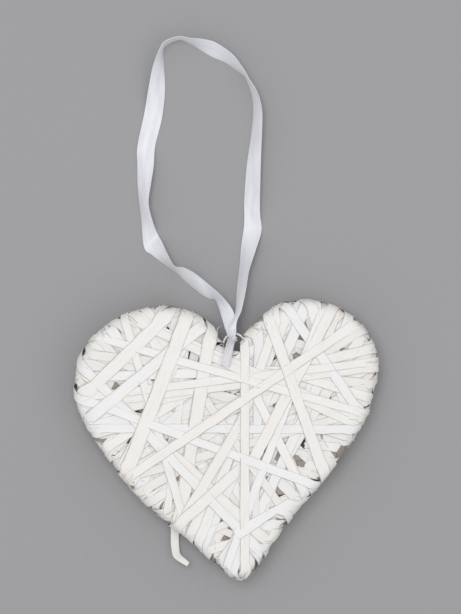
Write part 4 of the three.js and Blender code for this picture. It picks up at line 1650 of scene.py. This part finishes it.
@dataclass
class Studio:
    """The camera over the heart, the soft lights and the backdrop."""

    drawing: Drawing
    world: float = 0.62
    key: float = 13.5
    key_place: tuple[float, float, float] = (-0.25, 0.35, 1.9)
    key_size: float = 0.9
    fill: float = 3.0
    fill_place: tuple[float, float, float] = (1.0, -0.5, 1.5)
    fill_size: float = 1.2
    sheet_half: float = 3.0
    sheet_level: float = -0.0002

    def camera(self) -> None:
        """Set the camera straight above the photograph's middle."""
        made = bpy.data.cameras.new("camera")
        made.sensor_fit = "VERTICAL"
        made.sensor_height = 24
        seen = IMAGE_SIZE[1] * IMAGE_MM_PER_PIXEL
        made.lens = made.sensor_height * CAMERA_HEIGHT / seen
        made.clip_end = 20
        holder = add_object("camera", made)
        holder.location = self.drawing.metres(np.array([*IMAGE_MIDDLE, CAMERA_HEIGHT]))
        bpy.context.scene.camera = holder

    @staticmethod
    def _soft_light(name: str, place: Sequence[float], size: float, power: float) -> None:
        """Add a square soft light that looks at the heart.

        Args:
            name: Its name.
            place: Where it is, in metres.
            size: Its side.
            power: Its power in watts.
        """
        made = bpy.data.lights.new(name, "AREA")
        made.size = size
        made.energy = power
        holder = add_object(name, made)
        holder.location = place
        holder.rotation_euler = (-Vector(place)).to_track_quat("-Z", "Y").to_euler()

    def light(self) -> None:
        """Add the lights and an even world."""
        self._soft_light("key_light", self.key_place, self.key_size, self.key)
        self._soft_light("fill_light", self.fill_place, self.fill_size, self.fill)
        world = bpy.data.worlds.new("studio")
        world.use_nodes = True
        back = world.node_tree.nodes["Background"]
        back.inputs["Color"].default_value = (1, 1, 1, 1)
        back.inputs["Strength"].default_value = self.world
        bpy.context.scene.world = world
        bpy.context.scene.view_settings.view_transform = "Standard"

    def backdrop(self) -> None:
        """Add the sheet of paper that the heart lies on."""
        side = self.sheet_half
        mesh = bpy.data.meshes.new("backdrop")
        corners = [(x * side, y * side, self.sheet_level) for x, y in ((-1, -1), (1, -1), (1, 1), (-1, 1))]
        mesh.from_pydata(corners, [], [(0, 1, 2, 3)])
        mesh.materials.append(PAPER.material())
        add_object("backdrop", mesh)


def dress(piece: bpy.types.Object, material: bpy.types.Material) -> None:
    """Give a piece its material, and fix it to the one body.

    Args:
        piece: The piece.
        material: Its material.
    """
    piece.data.materials.clear()
    piece.data.materials.append(material)
    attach(piece, "root")
    log.info("%s: %d faces", piece.name, len(piece.data.polygons))


@dataclass
class Heart:
    """The wound heart: its deep strips, its strips and its loose ends."""

    drawing: Drawing
    thickness: float = STRIP_THICKNESS
    materials: dict[str, bpy.types.Material] = field(default_factory=dict)
    snags: list[tuple[np.ndarray, np.ndarray, np.ndarray]] = field(default_factory=list)

    def build(self) -> LaidStrips:
        """Wind the heart and return what was laid.

        Returns:
            What lies where, for the pieces that rest on it.
        """
        line = FrameLine(FULLER_LINE)
        winding = Winding(FrameLine(FRAME_LINE))
        self.materials = {slot: paint.material() for slot, paint in PAINTS.items()}
        # The inner strips' material: thin paint with painted shade
        self.materials["inner"] = INNER_PAINT_AND_SHADE.material()
        laid = LaidStrips(line, DEEP_BASE)
        self._deep_strips(line, winding, laid)
        laid.settle(0)
        laid.bare = 0.0
        rows = [one for i, row in enumerate(ROWS) for one in winding.row(row, i)]
        shown = [winding.shown(strip) for strip in SHOWN_STRIPS]
        passes = winding.onto(line, [*winding.fillers([*rows, *shown]), *rows, *shown])
        first_shown = len(passes) - len(shown)
        for i, one in enumerate(passes[:first_shown]):
            self._strip(line, laid, one, i, False)
        self._unsolid_strips(line, winding, laid)
        for i, one in enumerate(passes[first_shown:], first_shown):
            self._strip(line, laid, one, i, True)
        return laid

    def _strip(self, line: FrameLine, laid: LaidStrips, one: Pass, i: int, shown: bool) -> None:
        """Lay a strip that stands for a solid.

        Args:
            line: The frame line.
            laid: What lies there already.
            one: The strip's pass.
            i: Its number, from 0.
            shown: Whether it is one of the strips that show best.
        """
        path = StripPath(line, laid, one, BACK_JOINTS[i % len(BACK_JOINTS)], self.thickness)
        name = f"wood_strip_{i + 1:02d}"
        parts = MeshParts()
        shaper = StripShaper(SHOWN_SEED + i)
        # Deeper strips get a higher bare value: less paint, and painted shade of depth
        bare = shaper.wander.uniform(*(0.0, 0.06) if shown else (0.0, 0.9))
        shaper.shape(parts, path.stations, self.thickness, bare)
        self.snags += shaper.snags
        splint = parts.mesh(name + "_splint", self.drawing.metres)
        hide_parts(name)
        slot = list(PAINTS)[i % len(PAINTS)]
        # Strips that don't show best take the inner material, darkened as painted shade
        dress(splint, self.materials[slot if shown else "inner"])

    def _unsolid_strips(self, line: FrameLine, winding: Winding, laid: LaidStrips) -> None:
        """Lay the strips that have no solids, in one piece for each paint.

        Args:
            line: The frame line.
            winding: What works out the passes.
            laid: What lies there already.
        """
        groups = {slot: MeshParts() for slot in PAINTS}
        close = [
            one for i, row in enumerate(CLOSE_ROWS) for one in winding.row(row, i, CLOSE_WIDTHS, GAPS)
        ]
        passes = [*close, *winding.wraps(GAPS), *(winding.shown(strip) for strip in SMALLER_STRIPS)]
        for i, one in enumerate(winding.onto(line, passes)):
            path = StripPath(line, laid, one, BACK_JOINTS[i % len(BACK_JOINTS)], self.thickness)
            shaper = StripShaper(SMALLER_SEED + i)
            # The close rows lie deeper and get a higher bare value: less paint, and painted shade of depth
            bare = shaper.wander.uniform(*(0.0, 0.35) if i < len(close) else (0.0, 0.14))
            group = groups[list(PAINTS)[(i * 2 + 1) % len(PAINTS)]]
            shaper.shape(group, path.stations, self.thickness, bare)
            self.snags += shaper.snags
        for slot, parts in groups.items():
            dress(parts.mesh(f"smaller_strips_{slot}", self.drawing.metres), self.materials[slot])

    def _deep_strips(self, line: FrameLine, winding: Winding, laid: LaidStrips) -> None:
        """Wind the deeper strips that show only through gaps.

        Args:
            line: The frame line.
            winding: What works out the passes.
            laid: The bare form, to which they are added.
        """
        # The deep strips' near-black colour is painted shade as well as bare wood
        deep_shade_material = DEEP_WOOD_AND_SHADE.material()
        for number, row in enumerate(DEEP_ROWS):
            parts = MeshParts()
            for n, one in enumerate(winding.onto(line, winding.row(row, number))):
                joint = BACK_JOINTS[(n + number) % len(BACK_JOINTS)]
                gaps, most = (DEEP_GAP, DEEP_GAP), DEEP_TOP - DEEP_THICKNESS
                path = StripPath(line, laid, one, joint, DEEP_THICKNESS, gaps, most)
                shaper = StripShaper(DEEP_SEED + 40 * number + n)
                shaper.shape(parts, path.stations, DEEP_THICKNESS, DEEP_BARE_AND_SHADE, 3)
            log.info("deep row %d: %d passes, up to %.1f", number + 1, n + 1, laid.faces[1].max())
            row_piece = parts.mesh(f"deep_strips_{number + 1}", self.drawing.metres)
            dress(row_piece, deep_shade_material)


def smooth(points: Sequence[Sequence[float]], refine: int) -> np.ndarray:
    """Return a smooth line through points, with some steps between each two.

    Args:
        points: The points, or rows of points that move together.
        refine: How many steps lie between two of them.

    Returns:
        The points of the line.
    """
    given = np.array(points, float)
    count = len(given)
    fine = np.linspace(0, count - 1, (count - 1) * refine + 1)
    index = np.clip(np.floor(fine).astype(int), 0, count - 2)
    t = (fine - index).reshape(-1, *[1] * (given.ndim - 1))
    slopes = np.gradient(given, axis=0)
    a, b, leave, arrive = given[index], given[index + 1], slopes[index], slopes[index + 1]
    rise = a * (2 * t**3 - 3 * t**2 + 1) + b * (3 * t**2 - 2 * t**3)
    return rise + leave * (t**3 - 2 * t**2 + t) + arrive * (t**3 - t**2)


@dataclass(frozen=True)
class Fold:
    """A stretch of gathered ribbon.

    Attributes:
        path: Points along its middle.
        sides: The direction across it at its first and last point.
        widths: Its width at its first and last point.
        pleats: How many lengthwise pleats it has.
        depth: How deep they are at its first and last point.
    """

    path: tuple[tuple[float, float, float], ...]
    sides: tuple[tuple[float, float, float], tuple[float, float, float]]
    widths: Point
    pleats: float
    depth: Point

    def add_to(self, parts: MeshParts, thickness: float, seed: float) -> None:
        """Add the gathered ribbon to a mesh.

        Args:
            parts: The mesh being gathered.
            thickness: The ribbon's thickness.
            seed: A number that tells it from other bands.
        """
        middle = smooth(self.path, 8)
        t = np.linspace(0, 1, len(middle))[:, None]
        across = unit(np.array(self.sides[0]) * (1 - t) + np.array(self.sides[1]) * t)
        travel = unit(np.gradient(middle, axis=0))
        across = unit(across - travel * np.sum(across * travel, axis=1, keepdims=True))
        normal = np.cross(travel, across)
        u = np.linspace(-0.5, 0.5, 17)[None, :]
        width = mix(self.widths[0], self.widths[1], t)
        deep = mix(self.depth[0], self.depth[1], t)
        off = deep * np.sin(2 * math.pi * self.pleats * u + seed + 1.5 * t)
        surface = middle[:, None] + across[:, None] * (width * u)[..., None]
        surface = surface + normal[:, None] * off[..., None]
        half = normal[:, None] * thickness / 2
        parts.add_band(surface + half, surface - half, seed)


def wrap(middle: Sequence[float], reach: Point, tilt: float, width: float) -> Fold:
    """Return a fold that goes once round a bundle.

    Args:
        middle: The middle of the bundle.
        reach: How far the fold stands out sideways and upwards.
        tilt: How far it is turned from level, in degrees.
        width: Its width where it begins.

    Returns:
        The fold.
    """
    turn = math.radians(tilt)
    points = []
    for i in range(11):
        angle = 2 * math.pi * i / 10 - math.pi / 2
        x, z = reach[0] * math.cos(angle), reach[1] * math.sin(angle)
        points.append((middle[0] + x * math.cos(turn), middle[1] + x * math.sin(turn), middle[2] + z))
    side = (-math.sin(turn), math.cos(turn), 0.0)
    return Fold(tuple(points), (side, side), (width, width * 0.85), 2, (0.25, 0.3))


@dataclass
class Knot:
    """The ribbon's knot on the ring, and the tail that hangs from it over the front."""

    drawing: Drawing
    thickness: float = 0.28

    def build(self, material: bpy.types.Material) -> bpy.types.Object:
        """Make the knot from gathered strands and two turns round them.

        Args:
            material: The ribbon's material.

        Returns:
            The knot.
        """
        parts = MeshParts()
        flat = (1.0, 0.0, 0.0)
        under = ((2.5, 72.2, 0.2), (3.2, 69.4, 1.4), (4.6, 66.4, 2.0), (5.0, 64.0, 1.6))
        over = ((4.9, 72.2, 2.9), (4.9, 69.6, 3.4), (4.0, 66.6, 3.1), (3.2, 64.2, 2.6))
        folds = [
            Fold(under, (flat, flat), (5, 3), 1.5, (0.3, 0.5)),
            Fold(over, (flat, flat), (4.6, 3), 1.5, (0.3, 0.5)),
            wrap((4.5, 65.6, 2.3), (3.1, 2.1), 14, 3.4),
            wrap((4.3, 64.9, 2.5), (2.8, 2.3), -24, 2.6),
        ]
        for i, fold in enumerate(folds):
            fold.add_to(parts, self.thickness, 1.3 + i)
        knot = parts.mesh("knot_folds", self.drawing.metres, 60)
        dress(knot, material)
        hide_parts("ribbon_knot")
        return knot

    def tail(self, material: bpy.types.Material) -> bpy.types.Object:
        """Make the tail, just over the strips that it lies on.

        Args:
            material: The tail's material.

        Returns:
            The tail.
        """
        path = (
            (4.1, 66.2, 4.4), (3.8, 64.8, 8.0), (3.2, 62.8, 11.8), (2.5, 60.0, 14.4), (1.6, 56.0, 15.8),
            (0.5, 52.0, 16.1), (-0.6, 48.4, 16.4),
        )
        fold = Fold(path, ((1, -0.1, 0), (1, -0.3, 0)), (4.8, 6.0), 1.6, (0.6, 0.45))
        parts = MeshParts()
        fold.add_to(parts, self.thickness, 2.1)
        tail = parts.mesh("tail_folds", self.drawing.metres, 60)
        dress(tail, material)
        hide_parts("ribbon_tail")
        return tail


@dataclass
class Ribbon:
    """The satin ribbon: its loop, its knot on the ring and its folded tail."""

    drawing: Drawing
    thickness: float = 0.3
    across: int = 9
    refine: int = 6
    least_lift: float = 0.35
    cup: float = 0.35
    sink: float = 0.2

    def _edges(self) -> tuple[np.ndarray, np.ndarray]:
        """Return the two edges as smooth lines, in the drawing.

        Returns:
            The outer and the inner edge.
        """
        pairs = np.array(RIBBON_EDGES, float)
        pairs[..., 2] += self.drawing.floor
        curve = smooth(pairs, self.refine)
        curve[..., 2] = np.maximum(curve[..., 2], self.drawing.floor + self.least_lift)
        return curve[:, 0], curve[:, 1]

    def build(self) -> None:
        left, right = self._edges()
        surface, u = rows_between(left, right, self.across)
        travel = unit(np.gradient((left + right) / 2, axis=0))
        normal = unit(np.cross(travel, left - right))[:, None]
        lift = self.cup * (1 - (2 * u - 1) ** 2)
        middle = surface + normal * (lift - self.sink)
        parts = MeshParts()
        parts.add_band(middle + normal * self.thickness / 2, middle - normal * self.thickness / 2, 3.7)
        loop = parts.mesh("ribbon_band", self.drawing.metres)
        satin = SATIN.material()
        dress(loop, satin)
        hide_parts("ribbon_loop")
        centre = self.drawing.metres((left + right) / 2)
        knot = Knot(self.drawing)
        # The tail takes the darker satin, as painted shade
        pieces = [knot.build(satin), knot.tail(TAIL_SATIN_IN_SHADE.material())]


@dataclass
class Ring:
    """The small coated wire ring in the cleft."""

    drawing: Drawing
    radius: float = 6.9
    wire: float = 1.3
    turns: int = 72
    sides: int = 14

    def build(self) -> None:
        """Make the ring, a little out of round."""
        turns, sides = self.turns, self.sides
        vertices, faces = [], []
        for i in range(turns):
            a = 2 * math.pi * i / turns
            reach = self.radius * (1 + 0.015 * math.sin(2 * a + 0.7))
            for j in range(sides):
                b = 2 * math.pi * j / sides
                r = reach + self.wire / 2 * math.cos(b)
                x, y, z = Drawing.RING_MIDDLE
                vertices.append((x + r * math.cos(a), y + r * math.sin(a), z + self.wire / 2 * math.sin(b)))
        for i in range(turns):
            for j in range(sides):
                k, m = (i + 1) % turns, (j + 1) % sides
                faces.append((i * sides + j, k * sides + j, k * sides + m, i * sides + m))
        mesh = bpy.data.meshes.new("wire_ring")
        mesh.from_pydata([tuple(p) for p in self.drawing.metres(np.array(vertices))], [], faces)
        mesh.polygons.foreach_set("use_smooth", [True] * len(faces))
        ring = add_object("wire_ring", mesh)
        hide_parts("hanging_ring")
        dress(ring, WIRE.material())


@dataclass
class LooseEnds:
    """The strip end that came loose, the splinters and the fibres along the folds."""

    drawing: Drawing
    material: bpy.types.Material
    fibres: int = 700
    half_thickness: float = 0.17
    cup: float = 0.25
    most_upright: float = 0.75

    UNDER = (-28, -36, -44, -52)
    LEFT, MIDDLE, RIGHT = -36.6, -33.8, -31.0
    FREE = (
        ((-36.6, -60), (-31, -60), 0.0), ((-36.6, -67), (-31.1, -67), 0.4),
        ((-36.2, -74), (-30.8, -74), 1.6),
        ((-34.8, -79.6), (-30, -77.6), 3.6), ((-30, -82.9), (-27.2, -79.9), 6.2),
        ((-25.4, -85.3), (-24, -82.6), 8.0),
    )

    def loose_strip(self, laid: LaidStrips) -> None:
        """Make the strip that runs out from under the back at the lower left.

        Args:
            laid: What lies where on the heart.
        """
        level = -max(laid.surface((self.MIDDLE, y), -1) for y in self.UNDER) - 0.15
        rows = [((self.LEFT, y, level), (self.RIGHT, y, level)) for y in self.UNDER]
        rows += [((*left, level + lift), (*right, level + lift)) for left, right, lift in self.FREE]
        edges = smooth(rows, 5)
        wander = Wander(71)
        middle = edges.mean(axis=1)
        along = run_lengths(middle)
        reach = edges[:, 1] - edges[:, 0]
        left = edges[:, 0] + reach * wander.along(along, 4, 0.02)[:, None]
        right = edges[:, 1] + reach * wander.along(along, 4, 0.02)[:, None]
        base, u = rows_between(left, right, 5)
        normal = unit(np.cross(unit(np.gradient(middle, axis=0)), reach))[:, None]
        base = base + normal * self.cup * (1 - (2 * u - 1) ** 2)
        half = normal * self.half_thickness
        parts = MeshParts()
        parts.add_band(base + half, base - half, 71.0)
        strip = parts.mesh("loose_splint", self.drawing.metres)
        dress(strip, self.material)
        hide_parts("loose_strip")

    @staticmethod
    def _sliver(parts: MeshParts, line: np.ndarray, across: np.ndarray, width: float, seed: float) -> None:
        """Add a sliver that tapers to its far end.

        Args:
            parts: The mesh being gathered.
            line: The sliver's middle line.
            across: About the direction across it.
            width: Its width where it begins.
            seed: A number that tells it from other bands.
        """
        taper = np.linspace(1, 0.15, len(line))[:, None] * width / 2
        travel = unit(np.gradient(line, axis=0))
        normal = unit(np.cross(travel, np.broadcast_to(across, line.shape)))
        side = unit(np.cross(normal, travel))
        half = normal * min(0.12, width * 0.4) / 2
        left, right = line - side * taper, line + side * taper
        top = np.stack([left + half, right + half], axis=1)
        parts.add_band(top, np.stack([left - half, right - half], axis=1), seed, 0.2)

    def splinters(self, snags: Sequence[tuple[np.ndarray, np.ndarray, np.ndarray]]) -> None:
        """Make the curled splinter by the cleft and the fibres along the folds.

        Args:
            snags: Points, rises and headings along the folds of the strips.
        """
        parts = MeshParts()
        curl = ((-5.3, 66.2, 2), (-5.2, 69.2, 3), (-5.6, 71.8, 3.6), (-4.6, 73.4, 3.8), (-2.4, 74.4, 3.4))
        self._sliver(parts, smooth(curl, 6), np.array([1.0, 0.2, 0.1]), 0.8, 5.0)
        hook = ((-4.6, 60.2, 5), (-3.2, 62.4, 6), (-1.8, 62.3, 6.2), (-1.6, 60.8, 6))
        self._sliver(parts, smooth(hook, 6), np.array([0.3, 1.0, 0.3]), 1.0, 6.0)
        wander = Wander(5)
        snags = [snag for snag in snags if abs(snag[1][2]) < self.most_upright]
        chosen = wander.source.choice(len(snags), min(self.fibres, len(snags)), replace=False)
        for k in chosen:
            point, rise, travel = snags[k]
            torn = wander.uniform(0, 1)
            length = wander.uniform(0.5, 1.5) + (0.8 if torn > 0.95 else 0)
            way = travel * wander.uniform(-1, 1) + rise * wander.uniform(0.4, 1.2)
            way = unit(way + wander.source.normal(0, 0.35, 3))
            bend = rise * wander.uniform(-0.2, 0.4)
            t = np.linspace(0, 1, 4)[:, None]
            line = point - way * 0.4 + way * length * t + bend * length * t**2
            width = wander.uniform(0.2, 0.5) if torn < 0.6 else wander.uniform(0.6, 1.5)
            self._sliver(parts, line, np.cross(way, rise), width, float(k % 89))
        dress(parts.mesh("splinters", self.drawing.metres, 80), self.material)


def main() -> None:
    """Build the scene in the order camera, ribbon, heart."""
    logging.basicConfig(level=logging.INFO, format="%(name)s: %(message)s")
    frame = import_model()
    log.info("%d nodes", len(frame["nodes"]))
    drawing = Drawing()
    studio = Studio(drawing)
    studio.camera()
    Ribbon(drawing).build()
    Ring(drawing).build()
    heart = Heart(drawing)
    laid = heart.build()
    ends = LooseEnds(drawing, heart.materials["paint_warm_white"])
    ends.loose_strip(laid)
    ends.splinters(heart.snags)
    studio.light()
    studio.backdrop()


if __name__ == "__main__":
    main()
